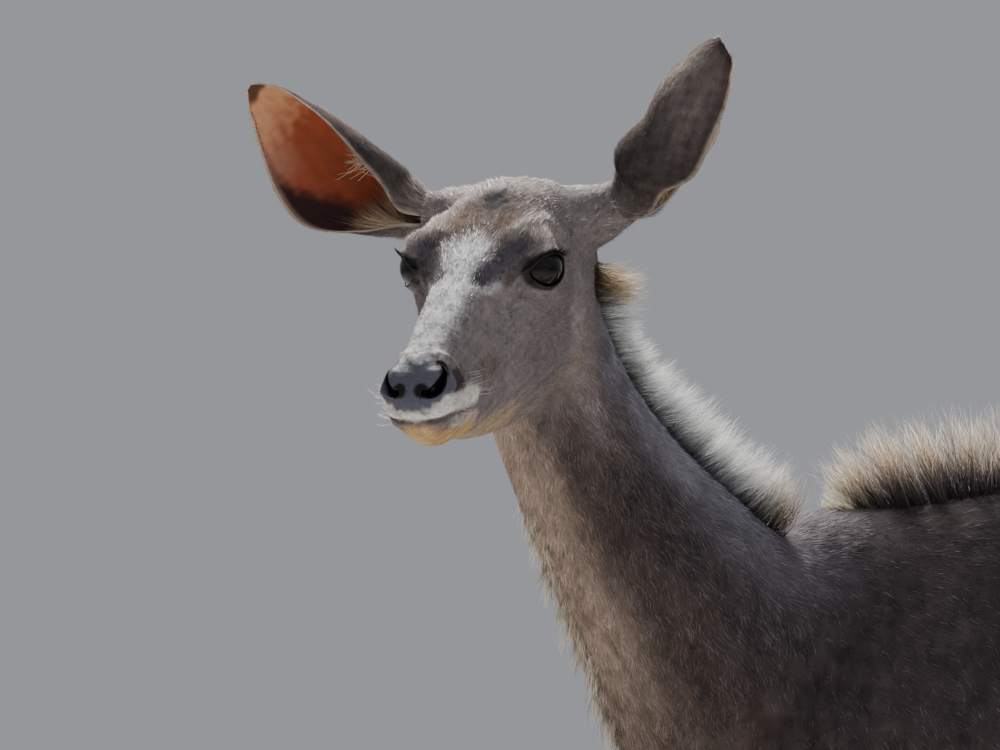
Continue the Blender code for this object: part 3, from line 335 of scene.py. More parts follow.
def trunk_loft(n_u=90, n_v=72):
    """Upright ellipses along Y."""
    y = np.interp(np.linspace(0, 1, n_u), np.linspace(0, 1, len(TRUNK_ROWS)), TRUNK_ROWS[:, 0])
    top, low, wide, middle = smooth_rows(TRUNK_ROWS[:, 0], TRUNK_ROWS[:, 1:], y).T
    centre = np.stack([0 * y, y, middle], 1)
    across = np.repeat([[1.0, 0, 0]], n_u, 0)
    up = np.repeat([[0, 0, 1.0]], n_u, 0)
    return ellipse_rings(centre, across, up, wide, top - middle, middle - low, n_v, 0.9)


def leg_rows(rows, side, shift, at):
    """The leg's rows with the foot moved along Y by its shift, more the lower it is."""
    v = smooth_rows(np.arange(len(rows)), rows, at)
    v[:, 1] += shift * np.clip((0.9 - v[:, 2]) / 0.5, 0, 1)
    v[:, 0] *= side
    return v


def leg_loft(rows, side, shift, n_u=90, n_v=32):
    """Level ellipses down the leg."""
    v = leg_rows(rows, side, shift, np.linspace(0, len(rows) - 1, n_u))
    across = np.repeat([[1.0, 0, 0]], n_u, 0)
    deep = np.repeat([[0, 1.0, 0]], n_u, 0)
    return ellipse_rings(v[:, :3], across, deep, v[:, 3], v[:, 4], v[:, 4], n_v)


def ear_root(base, normal, count=24):
    """A short round tube from inside the skull to past the ear's base."""
    side = np.sign(base[1])
    base = head_to_world(base)
    n = AXES @ unit(normal)
    inside = head_to_world([0.012, side * 0.022, -0.048])
    centre = np.array([inside, (inside + base - n * 0.012) / 2, base - n * 0.012, base, base + n * 0.016])
    r = np.array([0.040, 0.037, 0.0290, 0.0250, 0.024])
    across = unit(np.cross(n, [0, 0, 1.0]))
    up = np.cross(across, n)
    return ellipse_rings(centre, np.repeat(across[None], 5, 0), np.repeat(up[None], 5, 0), r, r, r, count)


TAIL_ROOT = np.array([[0, 1.02, 1.150], [0, 1.075, 1.135], [0, 1.110, 1.100], [0, 1.128, 1.060]])
TAIL_PATH = np.array([
    [0, 1.090, 1.124], [0, 1.1245, 1.066], [0, 1.140, 0.985], [0, 1.148, 0.900], [0, 1.147, 0.820],
    [0, 1.142, 0.740], [0, 1.136, 0.675],
])
TAIL_ROWS = np.array([
    [0.0180, 0.0180], [0.0145, 0.0145], [0.0140, 0.0110], [0.0150, 0.0105], [0.0150, 0.0100],
    [0.0120, 0.0080], [0.0040, 0.0030],
])


def tail_loft(n_u=40, n_v=24):
    """Ellipses square to the tail's path."""
    t = np.linspace(0, 1, n_u)
    k = np.linspace(0, 1, len(TAIL_PATH))
    spine = smooth_rows(k, TAIL_PATH, t)
    size = smooth_rows(k, TAIL_ROWS, t)
    along = unit(np.gradient(spine, axis=0))
    depth = np.cross(along, np.repeat([[1.0, 0, 0]], n_u, 0))
    across = np.repeat([[1.0, 0, 0]], n_u, 0)
    return ellipse_rings(spine, across, depth, size[:, 0], size[:, 1], size[:, 1], n_v)


# One hide over all of it
# The lofts melt into one closed surface, softened over the muscles. The head and the top of
# the neck are remeshed finely for the lids, nostrils and lips, then fused back without a seam.

BODY_VOXEL = 0.0055
HEAD_VOXEL = 0.0017
HEAD_SHARE = 0.42
BODY_SHARE = 0.40
SPLIT_AT = np.array([-0.045, 0.0, -0.125])
SPLIT_NORMAL = unit([0.60, 0, 0.80])
OVERLAP = 0.020


def applied(obj):
    """The object with its modifiers applied."""
    bpy.context.view_layer.update()
    graph = bpy.context.evaluated_depsgraph_get()
    mesh = bpy.data.meshes.new_from_object(obj.evaluated_get(graph))
    obj.modifiers.clear()
    obj.data = mesh
    return obj


def fused(obj, other, operation):
    """One Boolean of obj with other, which is then removed."""
    cut = obj.modifiers.new("cut", "BOOLEAN")
    cut.operation = operation
    cut.solver = "MANIFOLD"
    cut.object = other
    applied(obj)
    bpy.data.objects.remove(other)
    return obj


def remeshed(obj, size):
    """The object as one voxel surface."""
    melt = obj.modifiers.new("melt", "REMESH")
    melt.mode = "VOXEL"
    melt.voxel_size = size
    return applied(obj)


def points_of(obj, what="vertices", field="co"):
    """The mesh's coordinates or normals as an (n, 3) array."""
    items = getattr(obj.data, what)
    out = np.empty(len(items) * 3, np.float32)
    items.foreach_get(field, out)
    return out.reshape(-1, 3).astype(float)


def normals_of(obj):
    """Vertex normals as an (n, 3) array."""
    return points_of(obj, "vertex_normals", "vector")


def move_points(obj, points):
    """Puts the mesh's vertices at these points."""
    obj.data.vertices.foreach_set("co", np.ascontiguousarray(points, np.float32).ravel())
    obj.data.update()


def soften(obj, weight, iterations):
    """Laplacian smoothing, its strength from a weight for each vertex in ten steps."""
    group = obj.vertex_groups.new(name="soft")
    weight = np.clip(weight, 0, 1)
    for level in range(1, 11):
        pick = np.nonzero(np.round(weight * 10) == level)[0]
        if len(pick):
            group.add(pick.tolist(), level / 10, "REPLACE")
    smooth = obj.modifiers.new("soft", "SMOOTH")
    smooth.factor = 0.5
    smooth.iterations = iterations
    smooth.vertex_group = "soft"
    applied(obj)
    obj.vertex_groups.clear()


def body_softness(p):
    """One over the muscles, falling to none on the head and the lower legs."""
    away = np.linalg.norm(world_to_head(p) - [0.10, 0, -0.06], axis=1)
    near_head = np.exp(-np.maximum(0, away - 0.16) / 0.03)
    return np.clip((p[:, 2] - 0.62) / 0.15, 0, 1) * (1 - near_head)


def half_space(point, normal, size=3.0):
    """A large box whose face passes through point and which lies on the normal's side."""
    n = unit(normal)
    a = unit(np.cross(n, [0.31, 0.52, 0.79]))
    corners = np.array([[x, y, z] for z in (0, size) for y in (-size, size) for x in (-size, size)])
    b = np.cross(n, a)
    points = np.asarray(point) + corners @ np.stack([a, b, n])
    faces = np.array([
        [0, 2, 3], [0, 3, 1], [4, 5, 7], [4, 7, 6], [0, 1, 5], [0, 5, 4],
        [1, 3, 7], [1, 7, 5], [3, 2, 6], [3, 6, 7], [2, 0, 4], [2, 4, 6]])
    return put_mesh("half", points, outward(points, faces))


def ball(centre, radius, rings=40, segments=64, pole=(0, 0, 1)):
    """Points centre + radius (sin a cos b, sin a sin b, cos a) about the pole, closed with fans."""
    p = unit(pole)
    a = unit(np.cross(p, [0.3, 0.5, 0.8]))
    b = np.cross(p, a)
    lat = np.linspace(0.03, np.pi - 0.03, rings)
    lon = np.linspace(0, 2 * np.pi, segments, endpoint=False)
    x = np.sin(lat)[:, None] * np.cos(lon)
    y = np.sin(lat)[:, None] * np.sin(lon)
    z = np.cos(lat)[:, None] * np.ones(segments)
    local = np.stack([x, y, z], -1) * radius
    return closed_loft(np.asarray(centre) + local @ np.stack([a, b, p]))


def joined(shells):
    """Several closed surfaces as one array of points and one of triangles."""
    points = []
    triangles = []
    offset = 0
    for p, f in shells:
        points.append(p)
        triangles.append(f + offset)
        offset += len(p)
    return np.concatenate(points), np.concatenate(triangles)


def copy_of(obj):
    """A second object with its own copy of the mesh."""
    other = obj.copy()
    other.data = obj.data.copy()
    bpy.context.scene.collection.objects.link(other)
    return other


shells = [closed_loft(head_to_world(head_loft())), closed_loft(neck_loft()), closed_loft(trunk_loft())]
for _, rows, side, shift in LEGS:
    shells.append(closed_loft(leg_loft(rows, side, shift)))
for _, _, base, normal, *_ in EARS:
    shells.append(closed_loft(ear_root(base, normal)))
along = unit(np.gradient(TAIL_ROOT, axis=0))
r = np.array([0.034, 0.026, 0.019, 0.016])
shells.append(closed_loft(ellipse_rings(
    TAIL_ROOT, np.array([[1.0, 0, 0]] * 4), np.cross(along, [[1.0, 0, 0]] * 4), r, r, r, 20)))
hide = remeshed(put_mesh("hide", *joined(shells)), BODY_VOXEL)
soften(hide, np.ones(len(hide.data.vertices)), 3)
soften(hide, body_softness(points_of(hide)), 45)

split_normal = AXES @ SPLIT_NORMAL
split_at = head_to_world(SPLIT_AT)
face_part = fused(copy_of(hide), half_space(split_at, split_normal), "INTERSECT")
lid_balls = []
for side in (1, -1):
    centre, look, *_ = eye_frame(side)
    lid_balls.append(ball(centre, EYE_RADIUS + LID_THICKNESS, pole=look))
fused(face_part, put_mesh("lids", *joined(lid_balls)), "UNION")
remeshed(face_part, HEAD_VOXEL)
soften(face_part, np.ones(len(face_part.data.vertices)), 12)

# Folds of the face: points along a line, how wide it spreads, and how far it rises.
MOUTH = np.array([
    [0.256, 0.040, -0.0915], [0.268, 0.040, -0.0910], [0.288, 0.0385, -0.0840], [0.310, 0.037, -0.0760],
    [0.333, 0.033, -0.0680], [0.348, 0.019, -0.0670], [0.3565, 0.000, -0.0650],
])
FACE_FOLDS = [
    ([[0.127, 0.038, 0.009], [0.104, 0.047, 0.005], [0.085, 0.052, -0.003], [0.068, 0.058, -0.018],
      [0.061, 0.060, -0.035], [0.070, 0.064, -0.052]], 0.0100, 0.0045),
    ([[0.110, 0.066, -0.006], [0.099, 0.070, -0.020], [0.095, 0.071, -0.036], [0.101, 0.072, -0.052]], 0.0055,
     -0.0026),
    ([[0.112, 0.066, 0.000], [0.132, 0.071, 0.001], [0.152, 0.062, -0.006], [0.163, 0.055, -0.015]], 0.0060,
     0.0022),
    ([[0.114, 0.082, -0.006], [0.134, 0.081, -0.0040], [0.150, 0.073, -0.008]], 0.0022, -0.0017),
    ([[0.116, 0.080, -0.049], [0.138, 0.077, -0.049], [0.156, 0.066, -0.044]], 0.0030, -0.0014),
    ([[0.150, 0.045, 0.001], [0.172, 0.034, -0.004], [0.190, 0.024, -0.007]], 0.0120, -0.0032),
    ([[0.160, 0.056, -0.026], [0.168, 0.050, -0.033], [0.180, 0.046, -0.044]], 0.0042, -0.0030),
    ([[0.160, 0.055, -0.064], [0.190, 0.046, -0.072], [0.215, 0.041, -0.078]], 0.0080, 0.0020),
    ([[0.185, 0.040, -0.041], [0.190, 0.043, -0.060], [0.196, 0.044, -0.083]], 0.0022, 0.0009),
    ([[0.100, 0.068, -0.090], [0.086, 0.064, -0.115], [0.080, 0.058, -0.145]], 0.0075, -0.0016),
    ([[0.074, 0.066, -0.088], [0.079, 0.062, -0.112], [0.084, 0.058, -0.135]], 0.0090, 0.0018),
    ([[0.200, 0.040, -0.110], [0.170, 0.046, -0.120], [0.140, 0.052, -0.128]], 0.0090, 0.0014),
    ([[0.258, 0.041, -0.0915], [0.249, 0.042, -0.0930]], 0.0035, -0.0020),
    ([[0.276, 0.037, -0.0760], [0.300, 0.038, -0.0705], [0.330, 0.034, -0.0610], [0.350, 0.014, -0.0590]], 0.0045,
     0.0022),
    ([[0.266, 0.036, -0.0740], [0.270, 0.036, -0.0700]], 0.0100, 0.0040),
    ([[0.252, 0.036, -0.0640], [0.262, 0.035, -0.0585], [0.276, 0.035, -0.0590]], 0.0045, -0.0024),
    ([[0.285, 0.038, -0.0960], [0.308, 0.036, -0.0890], [0.332, 0.030, -0.0800]], 0.0060, 0.0020),
    ([[0.3560, 0.000, -0.040], [0.3570, 0.000, -0.052], [0.3570, 0.000, -0.064]], 0.0016, -0.0024),
    ([[0.3208, 0.000, -0.0187], [0.3155, 0.008, -0.0185], [0.306, 0.016, -0.0207], [0.2996, 0.0234, -0.0284],
      [0.2968, 0.0285, -0.0383], [0.2980, 0.0310, -0.0490]], 0.0060, 0.0022),
    ([[0.313, 0.022, -0.0290], [0.308, 0.028, -0.0370], [0.309, 0.031, -0.0460]], 0.0050, -0.0014),
    ([[0.3300, 0.0205, -0.0262], [0.3240, 0.0275, -0.0300]], 0.0060, 0.0012),
    ([[0.322, 0.034, -0.0420], [0.334, 0.031, -0.0450], [0.344, 0.022, -0.0470]], 0.0042, 0.0016),
    ([[0.020, 0.078, -0.020], [0.030, 0.070, -0.050], [0.024, 0.068, -0.085]], 0.0070, -0.0020),
    ([[0.050, 0.078, -0.060], [0.040, 0.074, -0.085], [0.034, 0.068, -0.115]], 0.0080, 0.0020),
    ([[0.215, 0.019, -0.010], [0.255, 0.018, -0.014], [0.290, 0.017, -0.018]], 0.0060, 0.0012),
    ([[0.066, 0.010, 0.012], [0.060, 0.000, 0.012]], 0.0070, -0.0022),
]


def line_distance(p, line):
    """Each point's distance to the nearest of the line's straight pieces."""
    line = np.asarray(line, float)
    best = np.full(len(p), np.inf)
    for a, b in zip(line[:-1], line[1:]):
        d = b - a
        t = np.clip(((p - a) @ d) / (d @ d), 0, 1)
        best = np.minimum(best, np.linalg.norm(p - a - t[:, None] * d, axis=1))
    return best


def mirrored(p):
    """The point's place on the head's left half."""
    return p * [1, 0, 1] + np.abs(p) * [0, 1, 0]


local = world_to_head(points_of(face_part))
left_half = mirrored(local)
rise = np.zeros(len(local))
for line, spread, height in FACE_FOLDS:
    rise += height * np.exp(-(line_distance(left_half, line) / spread) ** 2)
fine_mouth = smooth_rows(np.arange(7), MOUTH, np.linspace(0, 6, 25))
rise -= 0.0036 * np.exp(-(line_distance(left_half, fine_mouth) / 0.0020) ** 2)
move_points(face_part, points_of(face_part) + normals_of(face_part) * rise[:, None])

# Short hair stands on the hide, so the hide lies inside the solids by the coat's depth.
def coat_depth(p):
    """Depth of the lying hair: deep on the neck and trunk, thin on the face and feet, none on the bare nose."""
    h = world_to_head(p)
    on_head = np.clip((h - SPLIT_AT) @ SPLIT_NORMAL / 0.06, 0, 1)
    on_head *= np.linalg.norm(h, axis=1) < HEAD_REACH
    low_leg = np.clip((0.62 - p[:, 2]) / 0.25, 0, 1)
    depth = 0.0030 * (1 - on_head) + 0.0016 * on_head
    depth = depth * (1 - low_leg) + 0.0015 * low_leg
    bare = np.clip((h[:, 0] - 0.29) / 0.03, 0, 1) * on_head
    eye = np.exp(-(np.linalg.norm(mirrored(h) - EYE_CENTRE, axis=1) / 0.036) ** 6) * on_head
    return depth * (1 - bare) * (1 - 0.8 * eye)


move_points(face_part, points_of(face_part) - normals_of(face_part) * coat_depth(points_of(face_part))[:, None])
move_points(hide, points_of(hide) - normals_of(hide) * (coat_depth(points_of(hide)) + 0.0003)[:, None])
# The head's part crosses the hide by a little at the seam, and its cut rim is drawn inward, so
# that the union leaves no ridge.
SEAM_CROSSING = 0.0008
RIM_INSET = 0.006
p = points_of(face_part)
ahead = (p - split_at) @ split_normal - OVERLAP / 2
cross = SEAM_CROSSING * np.clip(ahead / 0.004, -1, 1) * np.exp(-(ahead / 0.028) ** 2)
inward = p[ahead < 0.004 - OVERLAP / 2].mean(0) - p
inward = unit(inward - split_normal * (inward @ split_normal)[:, None])
inward *= (RIM_INSET * np.clip((-0.002 - ahead) / 0.005, 0, 1))[:, None]
move_points(face_part, p + normals_of(face_part) * cross[:, None] + inward)
fused(hide, half_space(split_at + split_normal * OVERLAP, -split_normal), "INTERSECT")
for part, keep in ((hide, BODY_SHARE), (face_part, HEAD_SHARE)):
    fewer = part.modifiers.new("fewer", "DECIMATE")
    fewer.ratio = keep
    applied(part)
fused(hide, face_part, "UNION")
p = points_of(hide)
seam = np.exp(-(((p - split_at) @ split_normal - OVERLAP / 2) / 0.018) ** 2)
seam *= np.linalg.norm(p - split_at, axis=1) < 0.2
soften(hide, seam, 24)

# Sockets, lids' openings and nostrils.
SOCKET_GAP = 0.0003
for side in (1, -1):
    centre, look, fore, up = eye_frame(side)
    fused(hide, put_mesh("socket", *ball(centre, EYE_RADIUS + SOCKET_GAP, pole=look)), "DIFFERENCE")
    ex, ez = lid_edge(np.linspace(0, 2 * np.pi, 72, endpoint=False))
    outline = fore * ex[:, None] + up * ez[:, None]
    rings = np.stack([centre + look * 0.004 + outline * 0.9, centre + look * 0.045 + outline * 1.08])
    fused(hide, put_mesh("slit", *closed_loft(rings)), "DIFFERENCE")
NOSTRIL = np.array([
    [0.3490, 0.0115, -0.0372], [0.3458, 0.0180, -0.0405], [0.3390, 0.0236, -0.0385], [0.3320, 0.0265, -0.0342],
    [0.3255, 0.0278, -0.0300], [0.3190, 0.0250, -0.0262],
])
NOSTRIL_SIZE = np.array([[0.0026], [0.0048], [0.0060], [0.0048], [0.0026], [0.0011]])
NOSTRIL_WAY = unit(np.array([
    [0.90, 0.30, 0.25], [0.80, 0.50, 0.30], [0.65, 0.65, 0.40], [0.50, 0.72, 0.48], [0.40, 0.75, 0.52],
    [0.35, 0.70, 0.62]]))
for side in (1, -1):
    t = np.linspace(0, 1, 30)
    k = np.linspace(0, 1, 6)
    spine = smooth_rows(k, NOSTRIL, t)
    r = smooth_rows(k, NOSTRIL_SIZE, t)[:, 0]
    along = unit(np.gradient(spine, axis=0))
    deep = unit(smooth_rows(k, NOSTRIL_WAY, t))
    rings = ellipse_rings(spine, deep, np.cross(deep, along), 0.004 + r * 1.5, r * 0.95, r * 0.95, 28)
    fused(hide, put_mesh("hole", *closed_loft(head_to_world(rings * [1, side, 1]))), "DIFFERENCE")
local = mirrored(world_to_head(points_of(hide)))
near_holes = np.exp(-(line_distance(local, NOSTRIL) / 0.011) ** 4)
soften(hide, near_holes, 2)

bm = bmesh.new()
bm.from_mesh(hide.data)
bmesh.ops.triangulate(bm, faces=bm.faces)
bmesh.ops.remove_doubles(bm, verts=bm.verts, dist=1e-6)
for turn in range(3):
    crowded = [e for e in bm.edges if len(e.link_faces) > 2]
    bmesh.ops.delete(bm, geom=list({f for e in crowded for f in e.link_faces}), context="FACES")
    bmesh.ops.holes_fill(bm, edges=[e for e in bm.edges if len(e.link_faces) == 1], sides=0)
    bmesh.ops.triangulate(bm, faces=bm.faces)
bm.to_mesh(hide.data)
bm.free()
hide.data.polygons.foreach_set("use_smooth", np.full(len(hide.data.polygons), True))
hide.name = "skin"
hide.data.name = "skin"

# Markings
# One set of markings, in colours of skin and hair, is worked out for any point of the body,
# and the hide and every tuft read it.


def tone(r, g, b):
    """Linear colour from a display colour out of 255, by the display's 2.2 curve."""
    return (np.array([r, g, b]) / 255.0) ** 2.2


def waves(p, size, seed, count=14):
    """A smooth random value for each point: cosines in random directions with wavelengths round size."""
    rng = np.random.default_rng(seed)
    k = unit(rng.normal(size=(count, 3))) * (2 * np.pi / size) * rng.uniform(0.6, 1.5, (count, 1))
    return np.cos(p @ k.T + rng.uniform(0, 2 * np.pi, count)).sum(1) / math.sqrt(count / 2)


def step(value, low, high):
    """Smoothstep from 0 at low to 1 at high."""
    t = np.clip((value - low) / (high - low), 0, 1)
    return t * t * (3 - 2 * t)


def mix(old, new, weight):
    """The old value where the weight is 0, the new one where it is 1."""
    return old * (1 - weight) + new * weight


GREY_BROWN = tone(80, 73, 73)
WHITE = tone(226, 222, 214)
NOSE_BLACK = tone(82, 82, 93)
# Points are compared with tables this many at a time, to bound the memory.
BATCH = 20000
# Marks of the head, alike on both sides: a line, the reach round it, its softness, colour and strength.
FACE_MARKS = [
    ([[0.060, 0.040, -0.165], [0.140, 0.030, -0.180]], 0.026, 0.015, tone(150, 132, 118), 0.60),
    ([[0.200, 0.020, -0.150], [0.270, 0.010, -0.135]], 0.022, 0.012, tone(182, 156, 126), 0.70),
    # Pale line along the cheek's rear edge: a painted rim light where the light catches the jaw's edge.
    ([[0.084, 0.062, -0.135], [0.074, 0.066, -0.091], [0.060, 0.066, -0.060]], 0.014, 0.012, tone(154, 144, 139),
     0.60),
    # Pale nose ridge: partly silver-grey hair, partly a painted highlight where the key light falls on the ridge.
    ([[0.320, 0.000, -0.016], [0.260, 0.000, -0.008], [0.200, 0.000, 0.000], [0.150, 0.000, 0.008]],
     0.019, 0.013, tone(184, 184, 188), 0.90),
    ([[0.128, 0.038, 0.010], [0.112, 0.016, 0.010], [0.082, 0.010, 0.010]], 0.023, 0.014, tone(86, 77, 73), 0.88),
    ([[0.118, 0.030, 0.009], [0.098, 0.020, 0.008]], 0.008, 0.009, tone(100, 82, 70), 0.50),
    ([[0.030, 0.000, 0.012], [0.008, 0.030, 0.004], [0.000, 0.055, -0.010]], 0.022, 0.014, tone(158, 152, 149),
     0.60),
    ([[0.074, 0.002, 0.010], [0.056, 0.000, 0.010]], 0.0105, 0.007, tone(62, 60, 64), 0.88),
    # Pale line along the brow ridge: a painted highlight where the light falls on the brow.
    ([[0.127, 0.040, 0.010], [0.098, 0.050, 0.003], [0.070, 0.059, -0.020]], 0.010, 0.008, tone(166, 156, 149),
     0.55),
    ([[0.110, 0.071, -0.007], [0.132, 0.075, -0.003]], 0.0080, 0.004, tone(188, 178, 171), 0.80),
    # Dark patch below the brow, between the nose ridge and the eye: a painted shadow of the brow.
    ([[0.148, 0.046, 0.003], [0.168, 0.036, -0.003], [0.190, 0.024, -0.007]], 0.0120, 0.004, tone(78, 75, 80),
     0.92),
    ([[0.152, 0.054, -0.013], [0.166, 0.046, -0.014]], 0.0075, 0.004, tone(70, 64, 66), 0.75),
    ([[0.211, 0.013, -0.007], [0.196, 0.027, -0.015], [0.180, 0.037, -0.020]], 0.0048, 0.003, tone(190, 186, 184),
     0.70),
    ([[0.168, 0.041, -0.018], [0.172, 0.040, -0.020]], 0.0050, 0.004, tone(92, 74, 66), 0.60),
    ([[0.160, 0.056, -0.026], [0.169, 0.049, -0.034]], 0.0042, 0.003, tone(58, 52, 53), 0.85),
    ([[0.118, 0.078, -0.051], [0.142, 0.073, -0.053]], 0.0060, 0.005, tone(150, 140, 136), 0.50),
    ([[0.185, 0.040, -0.041], [0.190, 0.043, -0.060], [0.196, 0.044, -0.083]], 0.0018, 0.0016,
     tone(152, 142, 140), 0.50),
    ([[0.230, 0.040, -0.075], [0.250, 0.036, -0.070]], 0.0100, 0.007, tone(104, 92, 86), 0.60),
    ([[0.3000, 0.033, -0.0470], [0.3180, 0.033, -0.0450]], 0.0110, 0.004, tone(72, 66, 69), 0.92),
    ([[0.3190, 0.000, -0.0160], [0.3135, 0.008, -0.0165], [0.3040, 0.016, -0.0190], [0.2975, 0.0240, -0.0280],
      [0.2945, 0.0285, -0.0383], [0.2950, 0.0310, -0.0480]], 0.0030, 0.002, tone(172, 163, 159), 0.65),
    ([[0.266, 0.036, -0.0750], [0.272, 0.036, -0.0700]], 0.0100, 0.005, tone(150, 142, 142), 0.70),
    ([[0.254, 0.036, -0.0630], [0.262, 0.035, -0.0580], [0.276, 0.035, -0.0580]], 0.0036, 0.003, tone(68, 60, 58),
     0.75),
    ([[0.345, 0.000, -0.0880], [0.320, 0.016, -0.1000], [0.290, 0.022, -0.1120]], 0.0190, 0.006,
     tone(204, 166, 116), 0.90),
    ([[0.326, 0.030, -0.0800], [0.300, 0.031, -0.0930], [0.276, 0.033, -0.1040]], 0.0080, 0.004,
     tone(202, 190, 180), 0.80),
]
# Lines along the head round which the coat is silvery, brown or more flecked.
SILVER_NOSE = [[0.330, 0, -0.018], [0.200, 0, 0], [0.135, 0, 0.010]]
SILVER_CROWN = [[0.110, 0.035, 0.006], [0.040, 0.030, 0.006], [0.010, 0.070, -0.02]]
BROWN_FOREHEAD = [[0.126, 0.036, 0.010], [0.100, 0.012, 0.010], [0.070, 0.006, 0.010]]
FLECKED_RIDGE = [[0.325, 0, -0.016], [0.200, 0, 0], [0.050, 0, 0.010]]
# White stripes of the flanks: place along the trunk, height of the lower end, strength.
STRIPES = [
    (0.215, 0.86, 0.35), (0.300, 0.84, 0.55), (0.385, 0.83, 0.8), (0.470, 0.84, 0.8),
    (0.560, 0.84, 0.8), (0.650, 0.85, 0.8), (0.740, 0.88, 0.75), (0.825, 0.93, 0.6),
]
# Outlines of the upper lip's white band and of the bare nose in the head's x and z.
LIP_BAND = [
    [0.3620, -0.0625], [0.3565, -0.0620], [0.3530, -0.0545], [0.3480, -0.0490], [0.3403, -0.0445],
    [0.3230, -0.0520], [0.3050, -0.0585], [0.2880, -0.0630], [0.2760, -0.0700], [0.2700, -0.0820],
    [0.2720, -0.0895], [0.2880, -0.0835], [0.3100, -0.0755], [0.3330, -0.0675], [0.3480, -0.0665],
    [0.3620, -0.0645]]
NOSE_PAD = [
    [0.3720, -0.0120], [0.3270, -0.0200], [0.3170, -0.0225], [0.3100, -0.0270], [0.3095, -0.0350],
    [0.3150, -0.0425],
    [0.3280, -0.0465], [0.3403, -0.0445], [0.3480, -0.0490], [0.3530, -0.0545], [0.3565, -0.0620],
    [0.3720, -0.0625]]


def depth_inside(p, outline):
    """Distance from each point to the outline in the x and z plane, positive inside it."""
    flat = p[:, [0, 2]]
    near = np.full(len(p), np.inf)
    inside = np.zeros(len(p), bool)
    for a, b in zip(np.array(outline), np.roll(outline, -1, 0)):
        d = b - a
        t = np.clip(((flat - a) @ d) / (d @ d), 0, 1)
        near = np.minimum(near, np.linalg.norm(flat - a - t[:, None] * d, axis=1))
        crosses = (a[1] > flat[:, 1]) != (b[1] > flat[:, 1])
        rise = d[1] if d[1] else 1.0
        inside ^= crosses & (flat[:, 0] < a[0] + (flat[:, 1] - a[1]) / rise * d[0])
    return np.where(inside, near, -near)


def neck_place(p):
    """Share along the neck's path and the angle round it, zero at the nape."""
    s = np.linspace(0, 1, 60)
    centre, along, across, up, rows = neck_frames(s)
    near = np.empty(len(p), int)
    for start in range(0, len(p), BATCH):
        part = p[start:start + BATCH]
        near[start:start + BATCH] = ((part[:, None] - centre[None]) ** 2).sum(2).argmin(1)
    d = p - centre[near]
    x = (d * across[near]).sum(1)
    z = (d * up[near]).sum(1)
    return s[near], np.arctan2(x, z)


def head_share(p, low=-0.02, high=0.03):
    """One on the head and none on the neck, over a soft edge at the throat."""
    h = world_to_head(p)
    return step((h - SPLIT_AT) @ SPLIT_NORMAL - 0.02, low, high) * (np.linalg.norm(h, axis=1) < HEAD_REACH)


